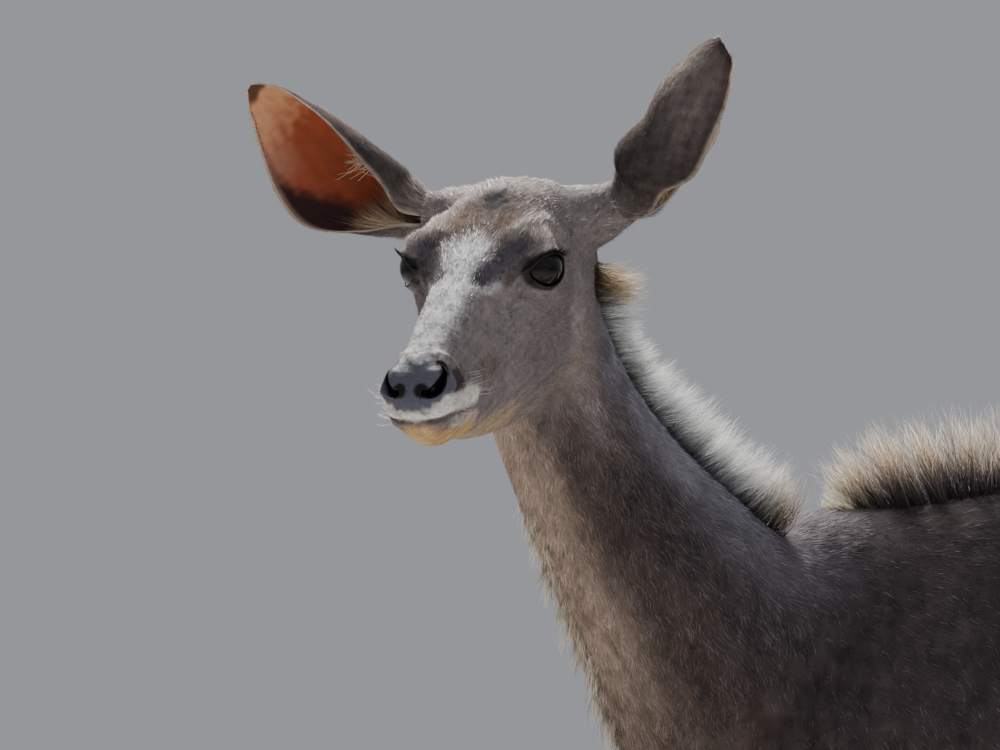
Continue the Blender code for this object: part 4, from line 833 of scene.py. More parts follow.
def markings(p, n):
    """Colour of the hair at points p with normals n."""
    m = mirrored(world_to_head(p))
    on_head = head_share(p)
    side = np.abs(p[:, 0])
    share, angle = neck_place(p)
    round_neck = np.abs(angle)
    on_neck = step(0.30 - p[:, 1], 0.0, 0.25) * step(p[:, 2], 0.85, 1.0) * (1 - on_head)
    leg = step(-p[:, 2], -0.66, -0.40)
    colour = np.tile(GREY_BROWN, (len(p), 1))

    def blend(new, weight):
        nonlocal colour
        colour = mix(colour, new, weight[:, None])

    # Trunk: slate saddle and shoulder, browner flank, paler belly, thin white stripes down the flanks.
    blend(tone(60, 58, 63), 0.85 * step(p[:, 2], 0.90, 1.12) * step(0.55 - p[:, 1], 0, 0.3))
    blend(tone(104, 92, 82), 0.75 * step(p[:, 1], 0.25, 0.55) * step(-p[:, 2], -1.19, -1.05))
    blend(tone(146, 130, 110), 0.60 * step(-p[:, 2], -0.86, -0.74) * step(p[:, 2], 0.60, 0.72))
    for i, (y, end, strength) in enumerate(STRIPES):
        bend = y + 0.020 * np.sin((1.22 - p[:, 2]) * 7 + i) + 0.05 * (1.22 - p[:, 2])
        low = end + 0.02 * np.sign(p[:, 0])
        width = 0.0050 + 0.0012 * waves(p, 0.05, 40 + i)
        line = step(width - np.abs(p[:, 1] - bend), -0.0030, 0.0030)
        line = strength * line * step(p[:, 2], low, low + 0.05)
        blend(WHITE, line * step(1.235 - p[:, 2], 0, 0.02))
    blend(tone(176, 168, 158), 0.7 * step(0.012 - side, 0, 0.008) * step(p[:, 1], 0.25, 0.40)
        * step(n[:, 2], 0.6, 0.9))

    # Neck: slate nape, warm grey sides, tan throat, paler where it meets the head.
    blend(tone(71, 63, 64), 0.85 * on_neck)
    blend(tone(140, 136, 146), 0.85 * on_neck * step(-round_neck, -1.5, -0.6) * step(share, 0.25, 0.55))
    blend(tone(176, 160, 158), 0.90 * on_neck * step(share, 0.58, 0.84) * step(round_neck, 0.9, 1.7))
    blend(tone(84, 73, 69), 0.70 * on_neck * step(round_neck, 1.6, 2.1) * step(share, 0.10, 0.35))
    blend(tone(186, 163, 147), 0.85 * on_neck * step(round_neck, 2.25, 2.85) * step(share, 0.15, 0.60))
    blend(tone(104, 78, 60), 0.18 * on_neck * step(waves(p, 0.05, 15), 0.5, 1.6) * step(round_neck, 1.2, 1.8))

    # Legs: fawn below the elbow and hock, dark behind the fetlock, white spots on the pasterns.
    blend(tone(138, 112, 84), 0.85 * leg)
    blend(tone(168, 150, 126), 0.55 * leg * step(-n[:, 0] * np.sign(p[:, 0]), 0.2, 0.8))
    blend(tone(60, 48, 40), 0.75 * step(-p[:, 2], -0.19, -0.13) * step(n[:, 1], 0.0, 0.7))
    blend(WHITE, 0.75 * step(-p[:, 2], -0.112, -0.098) * step(p[:, 2], 0.070, 0.082) * step(-n[:, 1], 0.1, 0.6))
    blend(tone(70, 56, 47), 0.60 * step(-p[:, 2], -0.066, -0.056))
    rump = step(p[:, 1], 1.085, 1.11) * step(0.07 - side, 0, 0.04)
    rump = rump * step(n[:, 1], 0.1, 0.5) * step(p[:, 2], 0.80, 0.95)
    blend(tone(208, 202, 192), 0.75 * rump)

    # Head: grey-brown with its marks, and the white band of the upper lip.
    trunk = colour
    colour = np.tile(tone(130, 120, 119), (len(p), 1))
    ragged = 0.0012 * waves(p, 0.006, 19)
    for line, reach, soft, new, strength in FACE_MARKS:
        inside = reach - line_distance(m, line) + ragged * min(1, reach / 0.008)
        blend(new, strength * step(inside, -soft, soft))
    blend(tone(244, 238, 230), 0.94 * step(depth_inside(m, LIP_BAND) + 0.3 * ragged, -0.0022, 0.0030))
    colour = mix(trunk, colour, on_head[:, None])

    # Flecks of darker and paler hair.
    fleck = waves(p * [1, 1, 0.55], 0.011, 7) * 0.6 + waves(p, 0.030, 8) * 0.5
    fleck = mix(fleck, waves(p, 0.0055, 14) * 0.7 + waves(p, 0.018, 16) * 0.5, on_head)
    lit = step(0.030 - line_distance(m, FLECKED_RIDGE), -0.012, 0.012)
    amount = mix(0.20, 0.16 + 0.14 * lit, on_head)
    return colour * (np.clip(1 + amount * fleck, 0.5, 1.6) * (1 + 0.07 * waves(p, 0.16, 9)))[:, None]


def grizzle(p):
    """How much silver hair mixes into the coat: most on the nose, forehead and nape, a little elsewhere."""
    h = world_to_head(p)
    m = mirrored(h)
    nose = step(0.026 - line_distance(m, SILVER_NOSE), -0.010, 0.010)
    crown = step(0.030 - line_distance(m, SILVER_CROWN), -0.012, 0.012)
    brown = step(0.024 - line_distance(m, BROWN_FOREHEAD), -0.010, 0.010)
    share, angle = neck_place(p)
    nape = step(-np.abs(angle), -0.55, -0.30) * (1 - head_share(p)) * step(share, 0.40, 0.55)
    return np.maximum.reduce([nose, 0.60 * crown, 0.4 * nape]) * (1 - 0.6 * brown)


def bare_skin(p):
    """Weights of the bare black skin: the nose pad with the nostrils, and the lids' rims and mouth line."""
    h = world_to_head(p)
    m = mirrored(h)
    nose = step(depth_inside(m, NOSE_PAD) + 0.0009 * waves(p, 0.009, 29), -0.0012, 0.0014)
    inside = step(0.0090 - line_distance(m, NOSTRIL), 0.0, 0.003)
    nose = np.maximum(nose, inside)
    d = m - EYE_CENTRE
    fore = unit([EYE_AXIS[1], -EYE_AXIS[0], 0])
    up = np.cross(fore, EYE_AXIS)
    x = d @ fore
    z = d @ up
    ex = x * math.cos(LID_TILT) + z * math.sin(LID_TILT)
    ez = -x * math.sin(LID_TILT) + z * math.cos(LID_TILT)
    rim = np.sqrt((ex / (LID_OPENING[0] + 0.0026)) ** 2 + (ez / (LID_OPENING[1] + 0.0024)) ** 2)
    lid = step(-rim, -1.16, -0.98) * (d @ EYE_AXIS > 0)
    duct = np.exp(-(line_distance(m, [[0.158, 0.060, -0.022], [0.166, 0.054, -0.030]]) / 0.0050) ** 2)
    lips = np.exp(-(line_distance(m, fine_mouth) / 0.0026) ** 2)
    corner = np.exp(-(line_distance(m, [[0.252, 0.040, -0.0915], [0.264, 0.039, -0.0905]]) / 0.0050) ** 2)
    near = np.linalg.norm(h, axis=1) < HEAD_REACH
    return nose * near, np.maximum.reduce([lid, 0.9 * duct, 0.85 * lips, 0.85 * corner]) * near


def store(obj, name, values, kind="FLOAT_COLOR"):
    """A named attribute on the mesh's vertices."""
    attribute = obj.data.attributes.new(name, kind, "POINT")
    if kind == "FLOAT_COLOR":
        values = np.concatenate([values, np.ones((len(values), 1))], 1)
        attribute.data.foreach_set("color", np.ascontiguousarray(values, np.float32).ravel())
    elif kind == "FLOAT_VECTOR":
        attribute.data.foreach_set("vector", np.ascontiguousarray(values, np.float32).ravel())
    else:
        attribute.data.foreach_set("value", np.ascontiguousarray(values, np.float32).ravel())


skin_p = points_of(hide)
skin_n = normals_of(hide)
nose, rims = bare_skin(skin_p)
skin_colour = markings(skin_p, skin_n) * 0.80
skin_colour = mix(skin_colour, NOSE_BLACK, nose[:, None])
# Near-black inside the nostrils: painted shade in their hollows.
nostril_floor = NOSTRIL - NOSTRIL_WAY * 0.0055
hollow = step(0.0076 - line_distance(mirrored(world_to_head(skin_p)), nostril_floor), -0.0008, 0.0010)[:, None]
skin_colour = mix(skin_colour, tone(13, 12, 14), hollow)
skin_colour = mix(skin_colour, tone(30, 25, 24), rims[:, None])
store(hide, "Coat", skin_colour)
store(hide, "Bare", np.maximum(nose, rims), "FLOAT")

# The hide's unwrap
# A chart for each part of the body, along it and round it, as a taxidermist cuts a hide:
# head, neck, trunk, four legs. Tufts take their place in the bake from the same charts.

CHARTS = {
    "head": (0.00, 0.52, 0.42, 0.47), "neck": (0.44, 0.52, 0.55, 0.47), "trunk": (0.00, 0.00, 0.60, 0.50),
    "leg0": (0.61, 0.00, 0.18, 0.24), "leg1": (0.81, 0.00, 0.18, 0.24),
    "leg2": (0.61, 0.26, 0.18, 0.24), "leg3": (0.81, 0.26, 0.18, 0.24),
}
neck_cut_at = np.array([0, 0.04, 1.20])
neck_cut_normal = unit([0, -0.748, 0.665])
FORE_CUT = 0.690
HIND_CUT = 0.735


def chart_of(p):
    """Which chart each point belongs to, from the planes between the parts."""
    near = np.linalg.norm(p - POLL_AT, axis=1) < 0.45
    head = ((world_to_head(p) - SPLIT_AT) @ SPLIT_NORMAL > 0.02) & near
    neck = ((p - neck_cut_at) @ neck_cut_normal > 0) & ~head
    which = np.where(head, 0, np.where(neck, 1, 2))
    leg = ~head & ~neck & (p[:, 2] < np.where(p[:, 1] < 0.5, FORE_CUT, HIND_CUT))
    number = 3 + (p[:, 0] < 0) + 2 * (p[:, 1] > 0.5)
    return np.where(leg, number, which)


def chart_place(p, which):
    """Share along the chart and angle round it for each point."""
    along = np.zeros(len(p))
    angle = np.zeros(len(p))
    h = world_to_head(p)
    pick = which == 0
    along[pick] = (h[pick, 0] + 0.13) / 0.50
    angle[pick] = np.arctan2(h[pick, 1], h[pick, 2] + 0.07)
    pick = which == 1
    if pick.any():
        s, a = neck_place(p[pick])
        along[pick] = s
        angle[pick] = a
    pick = which == 2
    along[pick] = (p[pick, 1] + 0.20) / 1.36
    angle[pick] = np.arctan2(p[pick, 0], p[pick, 2] - 0.95)
    for k, (name, rows, side, shift) in enumerate(LEGS):
        pick = which == 3 + k
        v = leg_rows(rows, side, shift, np.linspace(0, len(rows) - 1, 200))
        order = np.argsort(v[:, 2])
        z = p[pick, 2]
        along[pick] = z / 0.80
        cx = np.interp(z, v[order, 2], v[order, 0])
        cy = np.interp(z, v[order, 2], v[order, 1])
        angle[pick] = np.arctan2(p[pick, 0] - cx, -(p[pick, 1] - cy))
    return np.clip(along, 0, 1), angle


def unwrap_uv(along, angle, which):
    """Places in the unit square: angle across the chart, share along it upward."""
    box = np.array(list(CHARTS.values()))[which]
    u = (angle / (2 * np.pi) + 0.5) * 0.92 + 0.04
    v = along * 0.96 + 0.02
    return np.stack([box[:, 0] + u * box[:, 2], box[:, 1] + v * box[:, 3]], -1)


def set_bake_map(obj, corner_uv):
    """The OFBake map, with a place for each corner of the mesh's faces."""
    layer = obj.data.uv_layers.new(name="OFBake")
    layer.data.foreach_set("uv", np.ascontiguousarray(corner_uv, np.float32).ravel())


corner = np.empty(len(hide.data.loops), np.int32)
hide.data.loops.foreach_get("vertex_index", corner)
skin_f = corner.reshape(-1, 3)
middle = skin_p[skin_f].mean(1)
face_chart = chart_of(middle)
_, face_angle = chart_place(middle, face_chart)
loop_chart = np.repeat(face_chart, 3)
loop_along, loop_angle = chart_place(skin_p[corner], loop_chart)
turn = loop_angle - np.repeat(face_angle, 3)
loop_angle = np.repeat(face_angle, 3) + (turn + np.pi) % (2 * np.pi) - np.pi
set_bake_map(hide, unwrap_uv(loop_along, loop_angle, loop_chart))

# The lie of the coat: where the hair sets out and which way it points, on the left half.
LIE_HEAD = [
    ((0.345, 0.010, -0.030), (-1, 0.10, 0.25)), ((0.300, 0.000, -0.010), (-1, 0, 0.1)),
    ((0.240, 0.000, -0.005), (-1, 0.05, 0.1)), ((0.180, 0.000, 0.000), (-1, 0.10, 0.1)),
    ((0.120, 0.010, 0.010), (-1, 0.25, 0.1)), ((0.066, 0.010, 0.012), (-0.6, 0.6, 0.1)),
    ((0.030, 0.020, 0.010), (-1, 0.6, 0.0)), ((0.000, 0.050, -0.010), (-0.6, 1, 0.2)),
    ((0.320, 0.040, -0.045), (-1, 0.3, 0.0)), ((0.260, 0.034, -0.050), (-1, 0.1, -0.1)),
    ((0.200, 0.042, -0.050), (-1, 0.3, -0.2)), ((0.160, 0.055, -0.060), (-1, 0.3, -0.3)),
    ((0.120, 0.070, -0.070), (-1, 0.1, -0.5)), ((0.130, 0.075, 0.000), (-1, 0.1, 0.2)),
    ((0.070, 0.065, -0.060), (-1, 0.0, -0.5)), ((0.050, 0.065, -0.110), (-1, 0, -0.8)),
    ((0.020, 0.060, -0.130), (-1, 0, -1.0)), ((0.300, 0.036, -0.095), (-1, 0.2, -0.3)),
    ((0.330, 0.015, -0.110), (-1, 0.1, -0.4)), ((0.220, 0.020, -0.150), (-1, 0, -0.1)),
    ((0.120, 0.020, -0.185), (-1, 0, 0.0)), ((0.040, 0.020, -0.185), (-1, 0, -0.2)),
    ((0.320, 0.020, -0.075), (-0.4, 0.5, -0.8)),
]
LIE_BODY = [
    ((0.0, 0.05, 1.22), (0, 1, -0.1)), ((0.0, 0.40, 1.24), (0, 1, -0.05)), ((0.0, 0.80, 1.20), (0, 1, 0.0)),
    ((0.0, 1.05, 1.16), (0, 1, -0.6)), ((0.15, 0.10, 1.05), (0.1, 0.7, -0.8)),
    ((0.14, -0.05, 1.00), (0.1, 0.3, -1)),
    ((0.20, 0.45, 1.00), (0, 1, -0.5)), ((0.20, 0.70, 0.98), (0, 1, -0.5)), ((0.15, 0.92, 1.02), (0, 0.7, -0.9)),
    ((0.08, 1.06, 1.05), (0, 0.3, -1)), ((0.10, 0.30, 0.78), (-0.2, 1, -0.2)), ((0.0, 0.50, 0.73), (0, 1, 0)),
    ((0.0, 0.10, 0.73), (0, 1, 0)), ((0.0, -0.16, 0.95), (0, 0.1, -1)), ((0.12, 0.0, 0.80), (0, 0.2, -1)),
    ((0.12, 0.90, 0.85), (0, 0.1, -1)), ((0.10, 0.06, 0.60), (0, 0, -1)), ((0.09, 0.05, 0.30), (0, 0, -1)),
    ((0.09, 0.02, 0.10), (0, -0.2, -1)), ((0.10, 0.95, 0.60), (0, 0.2, -1)), ((0.09, 1.02, 0.30), (0, 0, -1)),
    ((0.09, 0.98, 0.10), (0, -0.2, -1)), ((0.0, 1.14, 0.95), (0, 0, -1)), ((0.12, 0.20, 0.90), (0, 0.8, -0.6)),
]


def lie_of(p, n):
    """Direction of the hair: the listed directions averaged by inverse distance, laid flat on the skin."""
    h = world_to_head(p)
    flip = np.where(h[:, 1] < 0, -1.0, 1.0)
    m = mirrored(h)
    places = np.array([a for a, _ in LIE_HEAD])
    ways = unit(np.array([b for _, b in LIE_HEAD]))
    w = 1 / (((m[:, None] - places[None]) ** 2).sum(2) + 0.012**2) ** 2
    head = (w @ ways) * np.stack([np.ones_like(flip), flip, np.ones_like(flip)], 1)
    head = unit(head) @ AXES.T
    flip = np.where(p[:, 0] < 0, -1.0, 1.0)
    places = np.array([a for a, _ in LIE_BODY])
    ways = unit(np.array([b for _, b in LIE_BODY]))
    q = np.abs(p) * [1, 0, 0] + p * [0, 1, 1]
    w = 1 / (((q[:, None] - places[None]) ** 2).sum(2) + 0.05**2) ** 2
    body = unit((w @ ways) * np.stack([flip, np.ones_like(flip), np.ones_like(flip)], 1))
    share, angle = neck_place(p)
    centre, along, across, up, rows = neck_frames(share)
    neck = unit(-along - up * 0.12 + np.array([0, 0.25, -0.1]) * step(np.cos(angle), -0.4, 0.8)[:, None])
    on_neck = step(share, 0.28, 0.60)[:, None] * (np.linalg.norm(p - centre, axis=1) < 0.30)[:, None]
    lie = mix(body, neck, on_neck)
    on_head = head_share(p)[:, None]
    lie = mix(lie, head, on_head)
    return unit(lie - n * (lie * n).sum(1, keepdims=True))


lie = np.concatenate([
    lie_of(skin_p[i:i + BATCH], skin_n[i:i + BATCH]) for i in range(0, len(skin_p), BATCH)])
store(hide, "Lie", lie, "FLOAT_VECTOR")


def node(tree, kind, **sockets):
    """A shader node with its inputs set to values or linked to other nodes' outputs."""
    made = tree.nodes.new(kind)
    for key, value in sockets.items():
        key = key.replace("_", " ")
        if isinstance(value, bpy.types.NodeSocket):
            tree.links.new(value, made.inputs[key])
        else:
            made.inputs[key].default_value = value
    return made


def new_material(name):
    """A material with its node tree and its surface shader."""
    material = bpy.data.materials.new(name)
    material.use_nodes = True
    return material, material.node_tree, material.node_tree.nodes["Principled BSDF"]


def attribute_node(tree, name):
    """A shader node that reads a named attribute of the mesh."""
    made = tree.nodes.new("ShaderNodeAttribute")
    made.attribute_name = name
    return made


def hair_finish(name, roughness, grain, bump, depth, gloss=0.0):
    """Hair colour from the Coat attribute with fine light and dark streaks and a streaky bump."""
    material, tree, surface = new_material(name)
    coat = attribute_node(tree, "Coat")
    place = tree.nodes.new("ShaderNodeTexCoord")
    noise = node(tree, "ShaderNodeTexNoise", Vector=place.outputs["Object"], Scale=grain, Detail=4.0, Roughness=0.7)
    value = node(tree, "ShaderNodeMapRange", Value=noise.outputs["Fac"], To_Min=1 - depth, To_Max=1 + depth)
    value.inputs["From Min"].default_value = 0.3
    value.inputs["From Max"].default_value = 0.7
    tint = tree.nodes.new("ShaderNodeVectorMath")
    tint.operation = "SCALE"
    tree.links.new(coat.outputs["Color"], tint.inputs[0])
    tree.links.new(value.outputs["Result"], tint.inputs["Scale"])
    tree.links.new(tint.outputs["Vector"], surface.inputs["Base Color"])
    surface.inputs["Roughness"].default_value = roughness
    surface.inputs["Sheen Weight"].default_value = 0.02
    surface.inputs["Sheen Roughness"].default_value = 0.45
    surface.inputs["Specular IOR Level"].default_value = gloss
    if bump:
        relief = node(tree, "ShaderNodeBump", Height=noise.outputs["Fac"], Strength=bump, Distance=0.0012)
        tree.links.new(relief.outputs["Normal"], surface.inputs["Normal"])
    return material


skin_material = hair_finish("hide_and_hair", 0.75, 420.0, 0.7, 0.22)
tree = skin_material.node_tree
surface = tree.nodes["Principled BSDF"]
bare = attribute_node(tree, "Bare")
wet = node(tree, "ShaderNodeMapRange", Value=bare.outputs["Fac"], To_Min=0.75, To_Max=0.36)
tree.links.new(wet.outputs["Result"], surface.inputs["Roughness"])
shine = node(tree, "ShaderNodeMapRange", Value=bare.outputs["Fac"], To_Min=0.0, To_Max=0.30)
tree.links.new(shine.outputs["Result"], surface.inputs["Specular IOR Level"])
hide.data.materials.clear()
hide.data.materials.append(skin_material)
move_points(hide, skin_p + MOVE)
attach(hide, "root")
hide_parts("head", "neck", "torso", "leg_fore_left", "leg_fore_right", "leg_hind_left",
            "leg_hind_right")

# Short coat
# Flat-lying guard hair in small tufts, each a thin closed spike sunk in the hide. They are
# smallest on the face and feet and grow longer over the neck and trunk.

PATCH_SIZE = 0.003
fur_draw = np.random.default_rng(23)
triangle = skin_p[skin_f]
face_normal = np.cross(triangle[:, 1] - triangle[:, 0], triangle[:, 2] - triangle[:, 0])
face_area = np.linalg.norm(face_normal, axis=1) / 2


def scatter(pick, density, count):
    """Random points on the picked triangles, by area times density: points, normals and lies."""
    rows = np.nonzero(pick)[0]
    weight = np.cumsum(face_area[rows] * density[rows])
    chosen = rows[np.searchsorted(weight, fur_draw.uniform(0, weight[-1], count)).clip(0, len(rows) - 1)]
    a, b = fur_draw.uniform(0, 1, (2, count))
    over = a + b > 1
    a = np.where(over, 1 - a, a)
    b = np.where(over, 1 - b, b)
    w = np.stack([1 - a - b, a, b], 1)[..., None]
    corners = skin_f[chosen]
    return (skin_p[corners] * w).sum(1), unit((skin_n[corners] * w).sum(1)), unit((lie[corners] * w).sum(1))


def spikes(root, first, last, wide, length, width, thick=0.5, mids=()):
    """Closed three-sided spikes: the centre line is root + l (d0 (t - t^2/2) + d1 t^2/2), a ring at each mid."""
    d0 = unit(first)
    d1 = unit(last)
    t = np.array([0.0] + [m for m, _ in mids])
    scale = np.array([1.0] + [s for _, s in mids])
    turn = np.radians([90, 210, 330])
    l = length[:, None, None]
    centre = root[:, None] + l * (d0[:, None] * (t - t * t / 2)[:, None] + d1[:, None] * (t * t / 2)[:, None])
    along = unit(d0[:, None] * (1 - t)[:, None] + d1[:, None] * t[:, None])
    side = unit(wide[:, None] - along * (along * wide[:, None]).sum(2, keepdims=True))
    flat = np.cross(along, side)
    half = (width[:, None] / 2 * scale)[..., None, None]
    ring = centre[:, :, None] + half * (
        side[:, :, None] * np.cos(turn)[:, None] + flat[:, :, None] * (np.sin(turn) * thick)[:, None])
    tip = root + length[:, None] * (d0 * 0.5 + d1 * 0.5)
    rings = len(t)
    points = np.concatenate([ring.reshape(len(root), rings * 3, 3), tip[:, None]], 1)
    faces = [[2, 1, 0]]
    for i in range(rings - 1):
        for j in range(3):
            k = (j + 1) % 3
            a, b, c, d = i * 3 + j, i * 3 + k, i * 3 + 3 + k, i * 3 + 3 + j
            faces += [[a, b, c], [a, c, d]]
    base = (rings - 1) * 3
    faces += [[base, base + 1, rings * 3], [base + 1, base + 2, rings * 3], [base + 2, base, rings * 3]]
    count = rings * 3 + 1
    triangles = (np.arange(len(root)) * count)[:, None, None] + np.array(faces)[None]
    share = np.concatenate([np.repeat(t, 3), [1.0]])
    return points, triangles.reshape(-1, 3), share


def coat_piece(name, points, triangles, colours, patch_at, share, material, normals=None):
    """One mesh of many spikes, with a colour for each point and each spike's small patch in the OFBake map."""
    n, k, _ = points.shape
    obj = put_mesh(name, points.reshape(-1, 3) + MOVE, triangles)
    store(obj, "Coat", np.clip(colours, 0, 1).reshape(-1, 3))
    across = np.array([0.0, 0.5, 1.0] * ((k - 1) // 3) + [0.5])
    patch = np.stack([across - 0.5, share - 0.5], 1) * PATCH_SIZE
    vertex_uv = (patch_at[:, None] + patch[None]).reshape(-1, 2)
    set_bake_map(obj, vertex_uv[triangles.ravel()])
    if normals is not None:
        obj.data.normals_split_custom_set_from_vertices(np.repeat(normals, k, 0).tolist())
    obj.data.materials.append(material)
    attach(obj, "root")
    return obj


fur_material = hair_finish("guard_hair", 0.62, 900.0, 0.0, 0.12)


# Length and width of a tuft on the body, on the head, how much less on the muzzle, and on the lower leg.
TUFT_SIZES = [(0.0122, 0.0095, 0.0045, 0.0075), (0.00115, 0.00072, 0.00022, 0.0008)]
# A few tufts are paler, and where the coat is silvery some are nearly white, partly silver hair and
# partly painted glints of light on the hair: how many and how much.
PALE_CHANCE, PALE_AMOUNT = 0.14, 0.22
BRIGHT_CHANCE, BRIGHT_AMOUNT = 0.45, 0.80


def fur_size(p):
    """Length and width of a tuft at each point."""
    h = world_to_head(p)
    on_head = head_share(p, -0.03, 0.05)
    muzzle = step(h[:, 0], 0.10, 0.30) * on_head
    low_leg = step(-p[:, 2], -0.65, -0.40)
    return [mix(mix(body, head - less * muzzle, on_head), leg, low_leg) for body, head, less, leg in TUFT_SIZES]


def short_coat(name, pick, density, count):
    """Tufts over the picked part of the hide, leaning along the lie with their tips just off the skin."""
    root, normal, way = scatter(pick, density, count)
    bare_nose, bare_rim = bare_skin(root)
    keep = fur_draw.uniform(0, 1, count) > np.maximum(bare_nose, bare_rim) * 1.4
    root, normal, way = root[keep], normal[keep], way[keep]
    count = len(root)
    length, width = fur_size(root)
    length = length * fur_draw.uniform(0.7, 1.3, count)
    width = width * fur_draw.uniform(0.8, 1.25, count)
    side = np.cross(normal, way)
    silver = grizzle(root)[:, None]
    sway = fur_draw.normal(0, 0.18, (count, 1)) + 0.25 * waves(root, 0.035, 12)[:, None]
    way = unit(way + side * sway)
    lift = fur_draw.uniform(0.16, 0.34, (count, 1)) + 0.10 * silver
    first = way + normal * (lift + 0.12)
    last = way + normal * (lift - 0.16)
    colour = markings(root, normal)
    colour = colour * np.exp(np.clip(fur_draw.normal(0, 1, (count, 1)), -2, 2) * (0.30 + 0.42 * silver))
    colour = colour * np.clip(1 + 0.50 * silver * waves(root, 0.0045, 24)[:, None], 0.3, 1.8)
    chance = fur_draw.uniform(0, 1, (count, 1))
    pale = (chance > 1 - PALE_CHANCE) * PALE_AMOUNT
    colour = mix(colour, tone(176, 171, 172), pale)
    # Nearly white tufts on the silvery parts: partly silver hair, partly painted glints of light.
    light_enough = step(colour.mean(1, keepdims=True), 0.06, 0.22)
    bright = (chance < BRIGHT_CHANCE * silver * light_enough) * BRIGHT_AMOUNT
    colour = mix(colour, tone(240, 240, 242), bright)
    tip = colour * 1.15 + 0.008
    points, triangles, share = spikes(root - normal * 0.0012, first, last, side, length, width)
    shade = np.where(share[:, None] > 0.5, 1.0, 0.0)[None]
    colours = mix(colour[:, None] * 0.75, tip[:, None], shade)
    which = chart_of(root)
    along, angle = chart_place(root, which)
    patch_at = unwrap_uv(along, angle, which)
    bent = unit(normal + fur_draw.normal(0, 1, (count, 3)) * (0.16 + 0.36 * silver))
    return coat_piece(name, points, triangles, colours, patch_at, share, fur_material, bent)


left = middle[:, 0] >= 0
even = np.ones(len(skin_f))
face_density = 1 + 2.0 * step(world_to_head(middle)[:, 0], 0.0, 0.2)
_, neck_a = neck_place(middle)
trunk_part = face_chart == 2
shoulder = trunk_part & (middle[:, 1] < 0.30)
short_coat("coat_head", face_chart == 0, face_density, 48000)
short_coat("coat_neck_left", (face_chart == 1) & (neck_a < 0), even, 37000)
short_coat("coat_neck_right", (face_chart == 1) & (neck_a >= 0), even, 27000)
short_coat("coat_shoulders", shoulder, even, 35000)
short_coat("coat_back_left", trunk_part & ~shoulder & left, even, 30000)
short_coat("coat_back_right", trunk_part & ~shoulder & ~left, even, 27000)
short_coat("coat_legs", face_chart >= 3, even, 30000)

# Eyes
# A large wet eye: dark brown iris with a wide level pupil, a clear bulge in front. It sits in
# its socket and the lids close round it.

# Half width and half height of the pupil.
PUPIL = (0.0078, 0.0052)


def eyeball(side):
    """A ball whose radius grows a little near the line of sight, as the clear front bulges."""
    centre, look, fore, up = eye_frame(side)
    points, triangles = ball(centre, EYE_RADIUS, 64, 96, look)
    d = points - centre
    near = np.clip((unit(d) @ look - 0.80) / 0.20, 0, 1)
    points = centre + d * (1 + 0.018 * near * near)[:, None]
    x = (points - centre) @ fore
    z = (points - centre) @ up
    away = np.hypot(x, z)
    front = (points - centre) @ look > 0
    pupil = step(-np.hypot(x / PUPIL[0], z / PUPIL[1]), -1.12, -0.92)
    iris = step(-away, -0.0150, -0.0136)
    rays = 0.75 + 0.35 * waves(np.stack([np.arctan2(z, x) * 2.2, away * 60, 0 * x], 1), 0.35, 31)
    around = np.tile(tone(27, 23, 23), (len(points), 1))
    brown = tone(30, 26, 26) * rays[:, None]
    colour = mix(mix(around, brown, iris[:, None]), tone(8, 8, 12), pupil[:, None])
    colour = np.where(front[:, None], colour, around)
    return points, triangles, np.clip(colour, 0, 1)


eye_material, tree, surface = new_material("wet_eye")
tree.links.new(attribute_node(tree, "Coat").outputs["Color"], surface.inputs["Base Color"])
surface.inputs["Roughness"].default_value = 0.16
surface.inputs["Coat Weight"].default_value = 0.25
surface.inputs["Coat Roughness"].default_value = 0.03
surface.inputs["Specular IOR Level"].default_value = 0.25
surface.inputs["IOR"].default_value = 1.38
for side, name in ((1, "left"), (-1, "right")):
    points, triangles, colour = eyeball(side)
    eye = put_mesh("eye_ball_" + name, points + MOVE, triangles)
    store(eye, "Coat", colour)
    eye.data.materials.append(eye_material)
    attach(eye, "root")
    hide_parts("eye_" + name)

# Ears
# Large cupped ears of thin gristle and skin: short dark hair behind, bare orange skin in the
# cup, its orange partly a painted glow of light shining through the ear, with a dark band along
# the lower margin, and cream hair at the mouth of the cup.

EAR_LENGTH = 0.2223
EAR_BEND = 0.30
EAR_TUFTS = 15000
EAR_FRINGE_HAIRS = 1300
EAR_T = [0.00, 0.06, 0.14, 0.25, 0.45, 0.62, 0.78, 0.90, 0.97, 1.00]
# Half arc length, half angle in degrees, wall thickness, bow away from the opening, share of the curl.
EAR_ROWS = [
    [0.071, 172, 0.0170, 0.000, 0.0], [0.070, 170, 0.0110, 0.001, 0.0], [0.078, 167, 0.0065, 0.003, 0.0],
    [0.090, 140, 0.0042, 0.006, 0.0], [0.0974, 110, 0.0032, 0.010, 1.0], [0.0845, 94, 0.0030, 0.010, 1.0],
    [0.0590, 81, 0.0028, 0.006, 0.8], [0.0352, 69, 0.0026, 0.001, 0.5], [0.0170, 60, 0.0024, -0.003, 0.3],
    [0.0055, 50, 0.0022, -0.005, 0.0],
]


